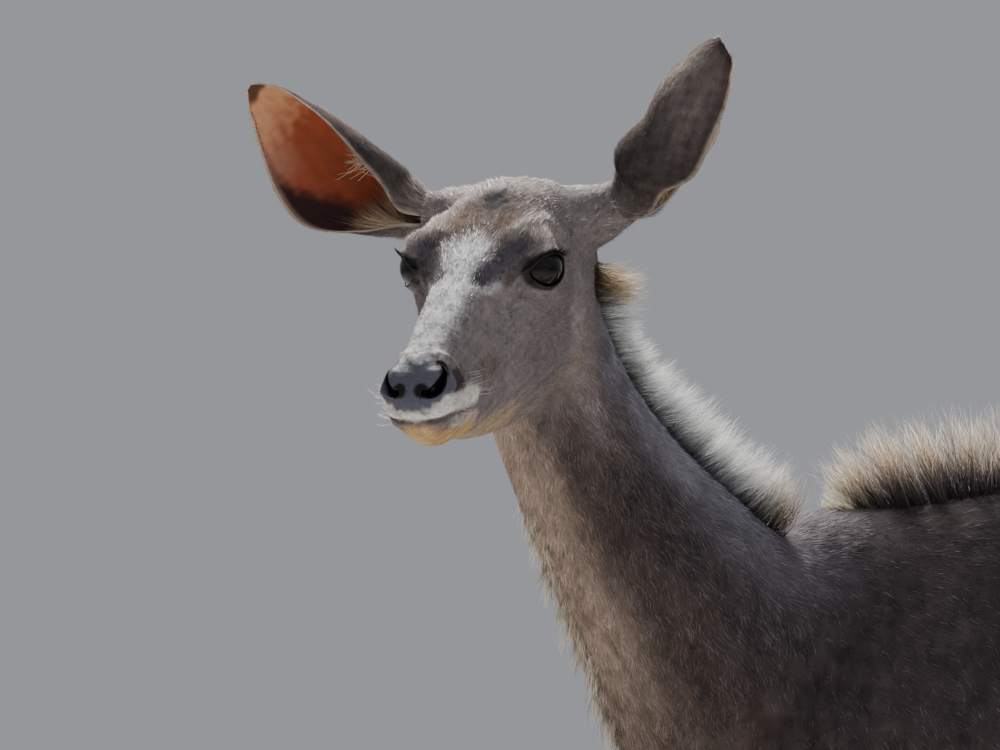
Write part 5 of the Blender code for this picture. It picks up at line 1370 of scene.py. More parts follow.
def ear_spine(base, normal, axis, opening, twist, sag, t):
    """Points of the ear's axis and its frame: it leaves the skull squarely, bends to its axis, sags and twists."""
    fine = np.linspace(0, 1, 201)
    lean = step(fine, 0, EAR_BEND)[:, None]
    n = AXES @ unit(normal)
    a = AXES @ unit(axis)
    d = unit(n * (1 - lean) + a * lean)
    steps = np.concatenate([[[0, 0, 0]], np.cumsum((d[1:] + d[:-1]) / 2 * EAR_LENGTH / 200, axis=0)])
    low = AXES @ np.array([0, np.sign(base[1]) * 0.5, -0.85]) * sag
    hang = np.sin(np.pi * np.clip(fine * 1.15 - 0.12, 0, 1)) ** 1.5
    p = head_to_world(base) + steps + low * hang[:, None]
    p = np.stack([np.interp(t, fine, p[:, k]) for k in range(3)], 1)
    d = unit(np.stack([np.interp(t, fine, d[:, k]) for k in range(3)], 1))
    hinge = unit(np.cross(n, a))
    o = AXES @ unit(opening)
    o = unit(o - a * (a @ o))
    o = hinge * (o @ hinge) + np.cross(hinge, d) * (o @ np.cross(hinge, a))
    b = np.cross(d, o)
    w = (twist * np.clip((t - 0.1) / 0.9, 0, 1))[:, None]
    return p, d, o * np.cos(w) + b * np.sin(w), b * np.cos(w) - o * np.sin(w)


def ear_walls(base, normal, axis, opening, twist, sag, curl, n_t=130, n_a=96):
    """Outer and inner wall over the same arc, with t along and s across from rim to rim, and the opening's way."""
    t = np.linspace(0, 1, n_t) ** 0.92
    arc, angle, wall, bow, share = smooth_rows(EAR_T, EAR_ROWS, t).T
    bow = bow - share * curl
    angle = np.radians(angle)
    rho = arc / angle
    spine, d, o, b = ear_spine(base, normal, axis, opening, twist, sag, t)
    spine = spine + o * ((rho - rho[0]) * 0.55 - bow)[:, None]
    s = np.linspace(-1, 1, n_a)
    phi = (angle[:, None] * s[None])[..., None]
    sunk = 0.0008 + 0.0045 * (1 - step(t, 0.02, 0.13))
    outer = spine[:, None] + (b[:, None] * np.sin(phi) - o[:, None] * np.cos(phi)) * (rho - sunk)[:, None, None]
    thin = wall[:, None] * (1 - 0.62 * s[None] ** 6)
    ridge = 0.0010 * np.sin(np.pi * t)[:, None] * np.cos(s[None] * 22) * (1 - np.abs(s[None])) ** 0.5
    inner_rho = np.maximum(rho[:, None] - thin + ridge * (t[:, None] > 0.1), 0.0012)
    phi = phi * 0.990
    inner = spine[:, None] + (b[:, None] * np.sin(phi) - o[:, None] * np.cos(phi)) * inner_rho[..., None]
    return outer, inner, t, s, o


def ear_mesh(outer, inner):
    """The two walls joined along the rim and closed at the base and the tip."""
    rings = np.concatenate([outer, inner[:, ::-1]], 1)
    n, m, _ = rings.shape
    triangles = ring_triangles(n, m)
    j = np.arange(outer.shape[1] - 1)
    for base, turned in ((0, True), ((n - 1) * m, False)):
        q = [base + j, base + j + 1, base + m - 2 - j, base + m - 1 - j]
        if turned:
            q = q[::-1]
        triangles += [np.stack([q[0], q[1], q[2]], 1), np.stack([q[0], q[2], q[3]], 1)]
    points = rings.reshape(-1, 3)
    return points, outward(points, np.concatenate(triangles))


EAR_CREAM = tone(222, 196, 162)
BAND_T = [0.00, 0.20, 0.30, 0.37, 0.45, 0.59, 0.67, 0.80, 0.90]
BAND_EDGE = [1.10, 0.95, 0.55, 0.36, 0.40, 0.66, 0.82, 0.95, 1.10]


def layered(base, layers, p, seed, fleck):
    """A base colour with weighted colours laid over it in order, and flecks."""
    for new, weight in layers:
        base = mix(base, new, weight[:, None])
    return base * (1 + fleck * waves(p, 0.012, seed))[:, None]


def ear_back_colour(t, s, p):
    """Slate-brown with a paler painted highlight along the middle, dark at the edges and tip, the head's colour at
    the root.
    """
    root = np.tile(tone(132, 121, 117), (len(t), 1))
    return layered(root, (
        (tone(82, 74, 72), step(t, 0.06, 0.24)),
        (tone(108, 98, 95), step(t, 0.40, 0.65)),
        # Paler streak along the middle toward the tip: a painted highlight.
        (tone(150, 139, 131), 0.65 * step(-np.abs(s), -0.45, 0.0) * step(t, 0.50, 0.75)),
        (tone(112, 100, 92), 0.45 * step(-np.abs(s + 0.35), -0.22, 0.0) * step(t, 0.15, 0.3)
         * step(-t, -0.75, -0.5)),
        (tone(48, 41, 42), 0.75 * step(t, 0.88, 0.98)),
        (tone(50, 42, 43), 0.60 * step(np.abs(s), 0.62, 0.92) * step(t, 0.30, 0.50)),
        (tone(168, 156, 142), 0.80 * step(np.abs(s), 0.93, 0.985)),
    ), p, 17, 0.14)


def ear_cup_colour(t, s, p):
    """Orange skin, reddest under the upper rim, the orange and red partly a painted glow of light shining through
    the ear; a dark band widening by the lower rim, tan toward the tip.
    """
    ragged = 0.016 * waves(p, 0.012, 21)
    lower = -s + ragged
    band = lower - np.interp(t, BAND_T, BAND_EDGE)
    # The orange base and the red under the upper rim are partly the cup's skin colour, partly a painted glow of the
    # key light shining through the thin ear.
    return layered(np.tile(tone(160, 88, 64), (len(t), 1)), (
        (tone(166, 64, 46), 0.75 * step(s, 0.05, 0.45) * step(-t, -0.86, -0.74) * step(t, 0.18, 0.35)),
        (tone(150, 108, 94), 0.80 * step(-t, -0.36, -0.22)),
        (tone(176, 132, 108), 0.70 * step(lower, 0.25, 0.70) * step(t, 0.58, 0.72)),
        (tone(206, 160, 122), 0.85 * step(t + ragged, 0.72, 0.90)),
        (tone(212, 172, 138), 0.80 * step(s, 0.62, 0.90) * step(t, 0.55, 0.72)),
        (tone(54, 44, 47), 0.96 * step(band, -0.12, 0.13) * step(t, 0.20, 0.34)),
        (tone(104, 76, 72), 0.80 * step(lower, 0.3, 0.8) * step(-t, -0.34, -0.20)),
        (tone(70, 54, 50), 0.90 * step(t + 0.2 * ragged, 0.935, 0.965)),
        (tone(150, 128, 112), 0.75 * step(np.abs(s), 0.86, 0.95)),
        (tone(206, 190, 172), 0.75 * step(np.abs(s), 0.955, 0.99)),
    ), p, 18, 0.035)


ear_material = hair_finish("ear_skin", 0.55, 500.0, 0.25, 0.10)
surface = ear_material.node_tree.nodes["Principled BSDF"]
surface.inputs["Subsurface Weight"].default_value = 0.08
surface.inputs["Subsurface Radius"].default_value = (0.012, 0.005, 0.003)
surface.inputs["Subsurface Scale"].default_value = 0.4
long_material = hair_finish("long_hair", 0.50, 900.0, 0.0, 0.10, gloss=0.10)
ear_draw = np.random.default_rng(61)


def at_grid(grid, t, s, t_want, s_want):
    """The grid's points nearest to the wanted shares along and across, with their rows and columns."""
    i = np.clip(np.searchsorted(t, t_want), 0, len(t) - 1)
    j = np.clip(np.round((s_want + 1) / 2 * (len(s) - 1)).astype(int), 0, len(s) - 1)
    return grid[i, j], i, j


# Long hair in the cup, on the right ear's sides: count, root t and s with spreads, tip t and s with spreads, lift.
CUP_HAIR = [
    (90, (0.40, 0.026), (0.96, 0.02), (0.47, 0.034), (0.22, 0.16), 0.005),
    (60, (0.27, 0.040), (0.94, 0.03), (0.33, 0.040), (0.42, 0.16), 0.005),
    (420, (0.13, 0.030), (-0.75, 0.14), (0.34, 0.035), (-0.42, 0.13), 0.004),
    (260, (0.11, 0.020), (-0.35, 0.20), (0.30, 0.040), (-0.10, 0.16), 0.004),
]
for name, side, base, normal, *shape in EARS:
    outer, inner, t, s, open_way = ear_walls(base, normal, *shape)
    n_t, n_a = len(t), len(s)
    points, triangles = ear_mesh(outer, inner)
    ear = put_mesh("ear_shell_" + name, points + MOVE, triangles)
    tt = np.repeat(t, n_a)
    ss = np.tile(s * -side, n_t)
    back = ear_back_colour(tt, ss, outer.reshape(-1, 3)).reshape(outer.shape)
    cup = ear_cup_colour(tt, ss, inner.reshape(-1, 3)).reshape(inner.shape)
    store(ear, "Coat", np.concatenate([back * 0.8, cup[:, ::-1]], 1).reshape(-1, 3))
    u = np.concatenate([0.02 + 0.23 * (s + 1), 0.52 + 0.23 * (s[::-1] + 1)])
    uv = np.stack([np.tile(u, n_t), np.repeat(0.02 + 0.96 * t, len(u))], 1)
    set_bake_map(ear, uv[triangles.ravel()])
    ear.data.materials.append(ear_material)
    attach(ear, "root")
    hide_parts("ear_" + name)

    # Short hair on the back of the ear, toward the tip, longer and looser over the root.
    count = EAR_TUFTS
    du = np.gradient(outer, axis=0)
    dv = np.gradient(outer, axis=1)
    area = np.linalg.norm(np.cross(du, dv), axis=2).ravel()
    area *= (tt < 0.965) & (np.abs(ss) < 0.955)
    pick = np.searchsorted(np.cumsum(area), ear_draw.uniform(0, area.sum(), count)).clip(0, n_t * n_a - 1)
    i, j = np.divmod(pick, n_a)
    root = outer[i, j] + du[i, j] * ear_draw.uniform(-0.5, 0.5, (count, 1))
    root = root + dv[i, j] * ear_draw.uniform(-0.5, 0.5, (count, 1))
    out_way = unit(np.cross(du[i, j], dv[i, j]))
    out_way = out_way * np.sign((out_way * (root - inner[i, j])).sum(1, keepdims=True))
    way = unit(du[i, j]) + unit(dv[i, j]) * ear_draw.normal(0, 0.2, (count, 1))
    colour = ear_back_colour(t[i], s[j] * -side, root)
    colour = colour * np.exp(np.clip(ear_draw.normal(0, 1, (count, 1)), -2, 2) * 0.30)
    loose = 1 - step(t[i], 0.05, 0.30)
    length = ear_draw.uniform(0.005, 0.009, count) * (1 + 0.9 * loose)
    lift = ear_draw.uniform(0.15, 0.35, (count, 1)) + 0.12 * loose[:, None]
    points, triangles, share = spikes(
        root - out_way * 0.0008, way + out_way * (lift + 0.1), way + out_way * (lift - 0.12),
        np.cross(out_way, way),
        length, ear_draw.uniform(0.0005, 0.0009, count))
    shade = np.where(share[:, None] > 0.5, 1.0, 0.0)[None]
    colours = mix(colour[:, None] * 0.8, (colour * 1.2 + 0.008)[:, None], shade)
    patch_at = np.stack([0.04 + 0.21 * (s[j] + 1), 0.02 + 0.95 * t[i]], 1)
    bent = unit(out_way + ear_draw.normal(0, 0.16, (count, 3)))
    coat_piece("coat_ear_" + name, points, triangles, colours, patch_at, share, fur_material, bent)

    # A pale fringe along both rims, then long cream hair from the rims and the root across the cup.
    count = EAR_FRINGE_HAIRS
    root_t = ear_draw.uniform(0.14, 0.95, count)
    root_s = np.where(ear_draw.uniform(0, 1, count) < 0.5, -0.985, 0.985)
    root, i, j = at_grid(inner, t, s, root_t, root_s)
    tipward = unit(np.gradient(inner, axis=0)[i, j])
    outside = unit(outer[i, j] - outer[i, n_a // 2])
    way = tipward * 0.8 + outside * 0.5
    firsts = [way + open_way[i] * 0.4 + ear_draw.normal(0, 0.12, (count, 3))]
    lasts = [way + outside * 0.2 + ear_draw.normal(0, 0.18, (count, 3))]
    roots, places, lengths = [root], [np.stack([root_s, root_t], 1)], [ear_draw.uniform(0.002, 0.006, count)]
    tints = [tone(190, 174, 154) * ear_draw.uniform(0.7, 1.3, (count, 1))]
    for count, root_t, root_s, tip_t, tip_s, rise in CUP_HAIR:
        places_wanted = (root_t, root_s, tip_t, tip_s)
        root_t, root_s, tip_t, tip_s = (at + ear_draw.normal(0, spread, count) for at, spread in places_wanted)
        root_s, tip_s = np.clip(root_s, -0.97, 0.97) * -side, tip_s * -side
        root, i, j = at_grid(inner, t, s, root_t, root_s)
        tip, i_tip, _ = at_grid(inner, t, s, tip_t, tip_s)
        tip = tip + open_way[i_tip] * (rise * ear_draw.uniform(0.5, 1.5, (count, 1)))
        span = np.linalg.norm(tip - root, axis=1)
        length = span * 1.06
        straight = (tip - root) / length[:, None]
        first = unit(straight + open_way[i] * ear_draw.uniform(0.25, 0.6, (count, 1))
            + ear_draw.normal(0, 0.06, (count, 3)))
        roots.append(root)
        firsts.append(first)
        lasts.append(2 * straight - first)
        lengths.append(length)
        places.append(np.stack([root_s, root_t], 1))
        tints.append(EAR_CREAM * ear_draw.uniform(0.6, 1.25, (count, 1)))
    root, first, last, place, tint = (np.concatenate(v) for v in (roots, firsts, lasts, places, tints))
    length = np.concatenate(lengths)
    width = ear_draw.uniform(0.00035, 0.00065, len(root))
    points, triangles, share = spikes(root, first, last, np.cross(first, open_way[n_t // 2]), length, width, 0.6,
        ((0.5, 0.8),))
    colours = np.repeat(tint[:, None], points.shape[1], 1)
    patch_at = np.stack([0.54 + 0.21 * (place[:, 0] + 1), 0.02 + 0.95 * place[:, 1]], 1)
    coat_piece("hair_ear_" + name, points, triangles, colours, patch_at, share, long_material, None)

# Mane, crest and throat fringe
# Long hair in clumps along the nape, over the withers and back, and under the throat. Dark
# roots, silver tips; the clumps bend and overlap.

long_draw = np.random.default_rng(83)


def drop_to_skin(start, toward):
    """Where rays from start along toward meet the hide, with its normal there."""
    points = []
    normals = []
    for a, b in zip(start, toward):
        hit, place, n, _ = hide.ray_cast(Vector(a + MOVE), Vector(b))
        points.append(np.array(place) - MOVE if hit else a)
        normals.append(np.array(n) if hit else -b)
    return np.array(points), unit(np.array(normals))


def clumps(root, normal, first, last, length, spread, strands, draw):
    """Strands round each clump's root whose tips gather toward the clump's own tip."""
    n = len(root)
    side = unit(np.cross(normal, first))
    other = np.cross(normal, side)
    a = draw.uniform(0, 2 * np.pi, (n, strands))
    r = np.sqrt(draw.uniform(0, 1, (n, strands))) * spread[:, None]
    offset = side[:, None] * (np.cos(a) * r)[..., None] + other[:, None] * (np.sin(a) * r)[..., None]
    roots = root[:, None] + offset
    strand_length = length[:, None] * draw.uniform(0.32, 1.16, (n, strands)) ** 0.7
    tip = root[:, None] + (unit(first) * 0.5 + unit(last) * 0.5)[:, None] * strand_length[..., None]
    tip = tip + offset * draw.uniform(0.2, 1.1, (n, strands))[..., None]
    tip = tip + draw.normal(0, 0.13, (n, strands, 3)) * strand_length[..., None]
    straight = (tip - roots) / strand_length[..., None]
    f = unit(first)[:, None] + draw.normal(0, 0.14, (n, strands, 3))
    l = 2 * straight - f
    return (roots.reshape(-1, 3), unit(f).reshape(-1, 3), unit(l).reshape(-1, 3), strand_length.ravel())


def long_hair(name, root, normal, first, last, length, spread, strands, width, roots_colour, tips_colour,
        patch_at, draw, low_share=0.55):
    """One piece of clumped long hair: its tip colour is there by low_share at two fifths, nearly full at 0.72."""
    r, f, l, strand_length = clumps(root, normal, first, last, length, spread, strands, draw)
    count = len(r)
    w = width * draw.uniform(0.7, 1.3, count)
    wide = np.repeat(np.cross(normal, unit(first)), strands, 0) + draw.normal(0, 0.4, (count, 3))
    points, triangles, share = spikes(r, f, l, wide, strand_length, w, 0.6, ((0.42, 0.88), (0.72, 0.58)))
    pick = np.exp(np.clip(draw.normal(-0.06, 0.55, (count, 1, 1)), -1.6, 0.5))
    clump_pick = np.exp(np.clip(draw.normal(0.04, 0.34, (len(root), 1, 1)), -0.9, 0.4))
    pick = pick * np.repeat(clump_pick, strands, 0)
    low = np.repeat(roots_colour, strands, 0)[:, None] * pick
    high = np.repeat(tips_colour, strands, 0)[:, None] * pick
    t = np.interp(share, [0, 0.42, 0.72, 1.0], [0, low_share, 0.95, 1.0])[None, :, None]
    patches = np.repeat(patch_at, strands, 0)
    return coat_piece(name, points, triangles, mix(low, high, t), patches, share, long_material)


MANE_SPAN = (0.915, 0.400)
MANE_CLUMPS, MANE_STRANDS, MANE_WIDTH = 290, 32, 0.00050
count = MANE_CLUMPS
share = np.clip((np.arange(count) + long_draw.uniform(-0.5, 0.5, count)) / count, 0, 1)
s = MANE_SPAN[0] + (MANE_SPAN[1] - MANE_SPAN[0]) * share
centre, along, across, up, rows = neck_frames(s)
offset = long_draw.uniform(-0.015, 0.015, count)
root, normal = drop_to_skin(centre + up * 0.45 + across * offset[:, None], -up)
front = step(-share, -0.15, -0.05)[:, None]
end = step(share, 0.90, 0.97)[:, None]
tall = np.interp(share, [0, 0.08, 0.19, 0.34, 0.52, 0.80, 0.93, 1.0],
    [0.80, 0.95, 0.70, 0.62, 0.85, 1.02, 1.05, 1.15])
length = 0.058 * tall * long_draw.uniform(0.82, 1.12, count) + 0.003
lean = long_draw.uniform(-0.05, 0.22, (count, 1)) + 0.15 * np.sin(share * 70)[:, None]
spread_way = across * (offset / 0.015)[:, None]
first = normal - along * lean + spread_way * 0.32
stray = long_draw.normal(0, 1, (count, 3)) * (0.14 + 0.25 * front)
last = normal - along * (lean + 0.10 - 0.75 * end) + spread_way * 0.15 + stray
dark = step(share, 0.20, 0.55)[:, None]
low = mix(mix(tone(160, 154, 150), tone(62, 58, 61), dark), tone(88, 66, 50), front)
high = mix(mix(tone(246, 246, 246), tone(222, 194, 158), front), tone(206, 188, 164), end)
patch_at = np.stack([0.5 + offset * 8, 0.02 + 0.96 * s], 1)
long_hair("mane", root - normal * 0.003, normal, first, last, length, 0.0066 + 0.004 * front[:, 0], MANE_STRANDS,
    MANE_WIDTH, low, high, patch_at, long_draw, 0.45)

CREST_STATIONS = [0.026, 0.040, 0.056, 0.084, 0.120, 0.180, 0.280, 0.450, 0.700, 0.950]
CREST_SIZES = [
    [0.014, 1.90], [0.028, 1.60], [0.058, 1.15], [0.080, 0.75], [0.084, 0.40], [0.078, 0.00], [0.060, -0.50],
    [0.042, -0.90], [0.031, -1.20], [0.020, -1.50],
]
CREST_SPAN = (0.028, 0.95)
CREST_CLUMPS, CREST_STRANDS, CREST_WIDTH = 400, 26, 0.00058
count = CREST_CLUMPS
share = np.linspace(0, 1, count) ** 1.45
y = CREST_SPAN[0] + (CREST_SPAN[1] - CREST_SPAN[0]) * share + long_draw.uniform(-0.003, 0.003, count)
tall, lean = smooth_rows(CREST_STATIONS, CREST_SIZES, y).T
offset = long_draw.uniform(-0.016, 0.016, count)
root, normal = drop_to_skin(np.stack([offset, y, np.full(count, 2.0)], 1), np.tile([0, 0, -1.0], (count, 1)))
length = tall * long_draw.uniform(0.82, 1.10, count) + 0.003
lean = lean + 0.12 * np.sin(y * 190)
zero = 0 * y
first = normal + np.stack([offset * 14, -lean * 0.9, zero], 1) + long_draw.normal(0, 0.08, (count, 3))
last = normal + np.stack([offset * 8, -lean * 0.7, zero], 1) + long_draw.normal(0, 0.16, (count, 3))
ahead = step(-y, -0.064, -0.034)[:, None]
back = step(y, 0.25, 0.45)[:, None]
low = mix(mix(tone(98, 90, 92), tone(92, 80, 72), back), tone(128, 116, 96), ahead)
high = mix(mix(tone(206, 186, 164), tone(206, 198, 188), back), tone(222, 214, 188), ahead)
patch_at = np.stack([0.5 + offset * 8, 0.02 + 0.96 * (y + 0.2) / 1.36], 1)
long_hair("crest", root - normal * 0.003, normal, first, last, length, np.full(count, 0.0076), CREST_STRANDS,
    CREST_WIDTH, low, high, patch_at, long_draw, 0.06)

FRINGE_SPAN = (0.62, 0.12)
FRINGE_CLUMPS, FRINGE_STRANDS, FRINGE_WIDTH = 150, 14, 0.00048
count = FRINGE_CLUMPS
share = np.clip((np.arange(count) + long_draw.uniform(-0.5, 0.5, count)) / count, 0, 1)
s = FRINGE_SPAN[0] + (FRINGE_SPAN[1] - FRINGE_SPAN[0]) * share
centre, along, across, up, rows = neck_frames(s)
offset = long_draw.uniform(-0.020, 0.020, count)
root, normal = drop_to_skin(centre - up * 0.45 + across * offset[:, None], up)
length = (0.020 + 0.014 * np.sin(np.pi * share)) * long_draw.uniform(0.6, 1.3, count)
down = np.tile([0, 0, -1.0], (count, 1))
first = normal * 0.75 - along * 0.45 + down * 0.15
last = normal * 0.15 - along * 0.6 + down * 0.7 + long_draw.normal(0, 0.16, (count, 3))
low = np.tile(tone(140, 122, 102), (count, 1))
high = np.tile(tone(214, 202, 182), (count, 1))
patch_at = np.stack([0.04 + np.abs(offset), 0.02 + 0.96 * s], 1)
long_hair("throat_fringe", root - normal * 0.002, normal, first, last, length, np.full(count, 0.005),
    FRINGE_STRANDS, FRINGE_WIDTH, low, high, patch_at, long_draw)

# Tail
# A thin bony tail under a bushy brush: brown above, white below and along the edges, and a
# dark tip.

tail_points, tail_triangles = closed_loft(tail_loft())
tail = put_mesh("tail_core", tail_points + MOVE, tail_triangles)
store(tail, "Coat", np.tile(tone(150, 134, 116), (len(tail_points), 1)))
turn = np.arctan2(tail_points[:, 0], tail_points[:, 1] - 1.14)
uv = np.stack([0.5 + turn / (2 * np.pi) * 0.9, (1.13 - tail_points[:, 2]) / 0.46 * 0.96 + 0.02], 1)
set_bake_map(tail, uv[tail_triangles.ravel()])
tail.data.materials.append(fur_material)
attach(tail, "root")
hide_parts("tail")
BRUSH_CLUMPS, BRUSH_STRANDS, BRUSH_WIDTH = 300, 20, 0.00085
count = BRUSH_CLUMPS
k = np.linspace(0, 1, len(TAIL_PATH))
s = np.clip(0.10 + 0.88 * (np.arange(count) + 0.5) / count, 0, 1)
centre = smooth_rows(k, TAIL_PATH, s)
size = smooth_rows(k, TAIL_ROWS, s)
a = long_draw.uniform(0, 2 * np.pi, count)
away = np.stack([np.cos(a), np.sin(a), 0 * a], 1)
root = centre + np.stack([np.cos(a) * size[:, 0] * 0.9, np.sin(a) * size[:, 1] * 0.9, 0 * a], 1)
length = (0.034 + 0.060 * s) * long_draw.uniform(0.75, 1.1, count)
down = np.tile([0, 0.02, -1.0], (count, 1))
first = unit(away) * 0.42 + down * 0.9
last = unit(away) * 0.10 + down
under = step(-np.sin(a), -0.2, 0.5)[:, None]
edge = step(np.abs(np.cos(a)), 0.6, 0.9)[:, None]
white = np.clip(under + edge, 0, 1)
dark_tip = step(s, 0.74, 0.86)[:, None]
low = mix(mix(tone(108, 92, 78), tone(210, 204, 194), white), tone(40, 34, 31), dark_tip)
patch_at = np.stack([0.05 + 0.9 * a / (2 * np.pi), 0.02 + 0.96 * s], 1)
long_hair("tail_brush", root, away, first, last, length, np.full(count, 0.006), BRUSH_STRANDS, BRUSH_WIDTH, low,
    low * 1.1, patch_at, long_draw)

# Hooves
# Two claws of dark horn on each foot and two small dewclaws behind the fetlock. The claws'
# walls are rounded and ringed with growth lines.

CORONET_HEIGHT = 0.052
GAP = 0.0003


def claw(x, y, side, n_u=40, n_v=64):
    """Rings from the sole up: a rounded outline pointed in front, flatter on the inner side."""
    z = np.array([0.0, 0.0015, 0.026, CORONET_HEIGHT - 0.002, CORONET_HEIGHT - GAP / 2])
    rows = np.array([
        [0.0140, -0.0445, 0.0325], [0.0149, -0.0458, 0.0338], [0.0147, -0.036, 0.032],
        [0.0131, -0.0235, 0.0278], [0.0122, -0.0215, 0.0265]])
    at = np.concatenate([[0], np.linspace(0.0008, CORONET_HEIGHT - GAP / 2, n_u - 1)])
    half_width, front, rear = smooth_rows(z, rows, at).T
    phi = np.linspace(0, 2 * np.pi, n_v, endpoint=False)
    taper = 1 - 0.30 * np.clip(-np.sin(phi), 0, 1) ** 2
    ringed = 1 + 0.010 * np.sin(at * 1900)[:, None] * (at[:, None] > 0.003)
    px = np.cos(phi)[None] * half_width[:, None] * taper[None]
    px = np.where(px * side < 0, px * 0.72, px) * ringed
    py = y + ((rear + front) / 2)[:, None] + np.sin(phi)[None] * ((rear - front) / 2)[:, None] * ringed
    return np.stack([x + px, py, np.repeat(at[:, None], n_v, 1)], -1)


horn, tree, surface = new_material("hoof_horn")
place = tree.nodes.new("ShaderNodeTexCoord")
stretch = node(tree, "ShaderNodeMapping", Vector=place.outputs["Object"])
stretch.inputs["Scale"].default_value = (1.0, 1.0, 6.0)
noise = node(tree, "ShaderNodeTexNoise", Vector=stretch.outputs["Vector"], Scale=120.0, Detail=5.0)
ramp = tree.nodes.new("ShaderNodeValToRGB")
ramp.color_ramp.elements[0].color = (*tone(38, 32, 29), 1)
ramp.color_ramp.elements[1].color = (*tone(92, 78, 66), 1)
ramp.color_ramp.elements[0].position = 0.35
ramp.color_ramp.elements[1].position = 0.80
tree.links.new(noise.outputs["Fac"], ramp.inputs["Fac"])
tree.links.new(ramp.outputs["Color"], surface.inputs["Base Color"])
surface.inputs["Roughness"].default_value = 0.42
relief = node(tree, "ShaderNodeBump", Height=noise.outputs["Fac"], Strength=0.4, Distance=0.0006)
tree.links.new(relief.outputs["Normal"], surface.inputs["Normal"])
for name, rows, side, shift in LEGS:
    foot = leg_rows(rows, side, shift, [len(rows) - 1.4])[0]
    low_row = leg_rows(rows, side, shift, [13.85])[0]
    for which, inner_side in (("inner", -side), ("outer", side)):
        points, triangles = closed_loft(claw(foot[0] + inner_side * 0.0148, foot[1] - 0.001, inner_side))
        hoof = put_mesh("hoof_" + name + "_" + which, points + MOVE, triangles)
        hoof.data.materials.append(horn)
        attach(hoof, "root")
        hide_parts("claw_" + name + "_" + which)
        at = np.array([low_row[0] + inner_side * 0.0135, low_row[1] + 0.0265, 0.122])
        points, triangles = ball((0, 0, 0), 1.0, 20, 28)
        points = at + points * [0.0080, 0.0105, 0.0135]
        bud = put_mesh("bud_" + name + "_" + which, points + MOVE, triangles)
        bud.data.materials.append(horn)
        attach(bud, "root")
        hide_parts("dewclaw_" + name + "_" + which)

# Lashes and whiskers
# Dark lashes along the upper lids, and long pale feelers round the lips.

LASHES = 130
WHISKERS = 26
LASH_WIDTH = 0.00055
WHISKER_WIDTH = 0.00040
lash_draw = np.random.default_rng(97)
roots, firsts, lasts, lengths, widths, tints = [], [], [], [], [], []
for side in (1, -1):
    mirror = np.array([1, side, 1])
    centre, look, fore, up = eye_frame(side)
    count = LASHES
    ex, ez = lid_edge(lash_draw.uniform(0.02 * np.pi, 0.80 * np.pi, count))
    flat = fore * ex[:, None] * 1.04 + up * ez[:, None] * 1.04
    out = np.sqrt(np.maximum((EYE_RADIUS + 0.0022) ** 2 - (flat**2).sum(1), 1e-6))
    roots.append(centre + flat + look * out[:, None])
    firsts.append(look + unit(flat) * 0.35 + up * 0.1 + lash_draw.normal(0, 0.08, (count, 3)))
    lasts.append(look * 0.5 + unit(flat) * 0.8 + up * 0.5 + lash_draw.normal(0, 0.12, (count, 3)))
    lengths.append(lash_draw.uniform(0.007, 0.013, count))
    widths.append(np.full(count, LASH_WIDTH))
    tints.append(np.tile(tone(24, 20, 19), (count, 1)))
    count = WHISKERS
    at = np.stack([lash_draw.uniform(0.275, 0.335, count), np.full(count, 0.040),
        lash_draw.uniform(-0.082, -0.052, count)], 1)
    inward = np.tile(AXES @ np.array([0, -side, 0.0]), (count, 1))
    hit_roots, hit_normals = drop_to_skin(head_to_world((at + [0, 0.05, 0]) * mirror), inward)
    roots.append(hit_roots)
    way = AXES @ np.array([-0.35, side * 1.0, 0.10])
    firsts.append(hit_normals + way * 0.8 + lash_draw.normal(0, 0.15, (count, 3)))
    lasts.append(way * 1.2 + AXES @ np.array([-0.6, 0, -0.1]) + lash_draw.normal(0, 0.15, (count, 3)))
    lengths.append(lash_draw.uniform(0.010, 0.026, count))
    widths.append(np.full(count, WHISKER_WIDTH))
    tints.append(np.tile(tone(226, 220, 210), (count, 1)))
root, first, last = (np.concatenate(v) for v in (roots, firsts, lasts))
length, width, tint = np.concatenate(lengths), np.concatenate(widths), np.concatenate(tints)
points, triangles, share = spikes(root, first, last, np.cross(first, AXES[:, 2]), length, width, 1.0, ((0.5, 0.8),))
head_chart = np.zeros(len(root), int)
patch_at = unwrap_uv(*chart_place(root, head_chart), head_chart)
coat_piece("lashes_and_whiskers", points, triangles, np.repeat(tint[:, None], points.shape[1], 1), patch_at,
    share, long_material)

# Studio
# A pale floor, a warm key light from behind and to the camera's left, and one broad soft fill
# from the camera's right.

VIEW_AZIMUTH = math.radians(70)
right = np.array([math.cos(VIEW_AZIMUTH), math.sin(VIEW_AZIMUTH), 0.0])
toward = np.array([math.sin(VIEW_AZIMUTH), -math.cos(VIEW_AZIMUTH), 0.0])
bpy.ops.mesh.primitive_plane_add(size=40, location=(0, 0, -0.0005))
floor = bpy.context.object
floor.name = "floor"
floor_material, _, surface = new_material("pale_floor")
surface.inputs["Base Color"].default_value = (0.62, 0.61, 0.59, 1)
surface.inputs["Roughness"].default_value = 0.85
floor.data.materials.append(floor_material)

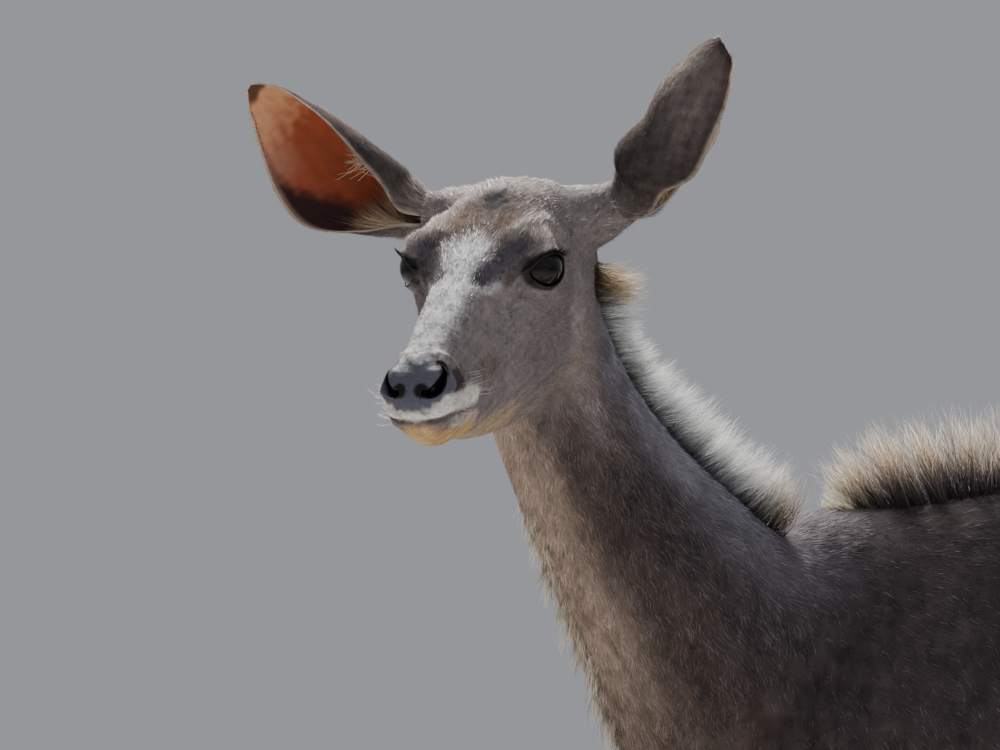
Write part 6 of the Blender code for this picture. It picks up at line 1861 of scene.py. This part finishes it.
world = bpy.data.worlds.new("studio")
bpy.context.scene.world = world
world.use_nodes = True
background = world.node_tree.nodes["Background"]
background.inputs["Color"].default_value = (0.54, 0.56, 0.60, 1)
background.inputs["Strength"].default_value = 0.60


def soft_light(name, at, aim, size, power, colour):
    """A square area light at a point, aimed at another."""
    light = bpy.data.lights.new(name, "AREA")
    light.size = size
    light.energy = power
    light.color = colour
    obj = bpy.data.objects.new(name, light)
    bpy.context.scene.collection.objects.link(obj)
    way = Vector(np.asarray(aim, float) - np.asarray(at, float))
    obj.matrix_world = Matrix.Translation(Vector(at)) @ way.to_track_quat("-Z", "Y").to_matrix().to_4x4()
    return obj


head_at = POLL_AT + MOVE
soft_light("key", head_at - right * 0.6 - toward * 2.1 + np.array([0, 0, 2.7]), head_at + [0, 0.2, -0.2],
           0.8, 520, (1.0, 0.96, 0.90))
fill = soft_light("fill", head_at + toward * 3.6 + right * 1.4 + np.array([0, 0, 0.9]), head_at + [0, 0.3, -0.3],
                  2.6, 52, (0.95, 0.97, 1.0))
fill.visible_glossy = False

# Camera
# A long lens level with the shoulder, seen from the animal's left front.

PIXELS_PER_METRE = 1074.0
DISTANCE = 14.0
SENSOR_MM = 36
WIDTH, HEIGHT = 1000, 750
# Pixel of the point (0, 0, MARK_HEIGHT) in the photograph.
MARK_PIXEL = (820, 517)
MARK_HEIGHT = 1.20
x = 0.14
y = (WIDTH / 2 - MARK_PIXEL[0]) / PIXELS_PER_METRE / right[1] - x * right[0] / right[1]
z = MARK_HEIGHT + (MARK_PIXEL[1] - HEIGHT / 2) / PIXELS_PER_METRE
camera = bpy.data.cameras.new("camera")
camera.sensor_width = SENSOR_MM
camera.lens = SENSOR_MM * DISTANCE / (WIDTH / PIXELS_PER_METRE)
camera.clip_end = 100
viewer = bpy.data.objects.new("camera", camera)
bpy.context.scene.collection.objects.link(viewer)
spot = Vector(np.array([x, y, z]) + MOVE + toward * DISTANCE)
viewer.matrix_world = Matrix.Translation(spot) @ Vector(-toward).to_track_quat("-Z", "Y").to_matrix().to_4x4()
bpy.context.scene.camera = viewer
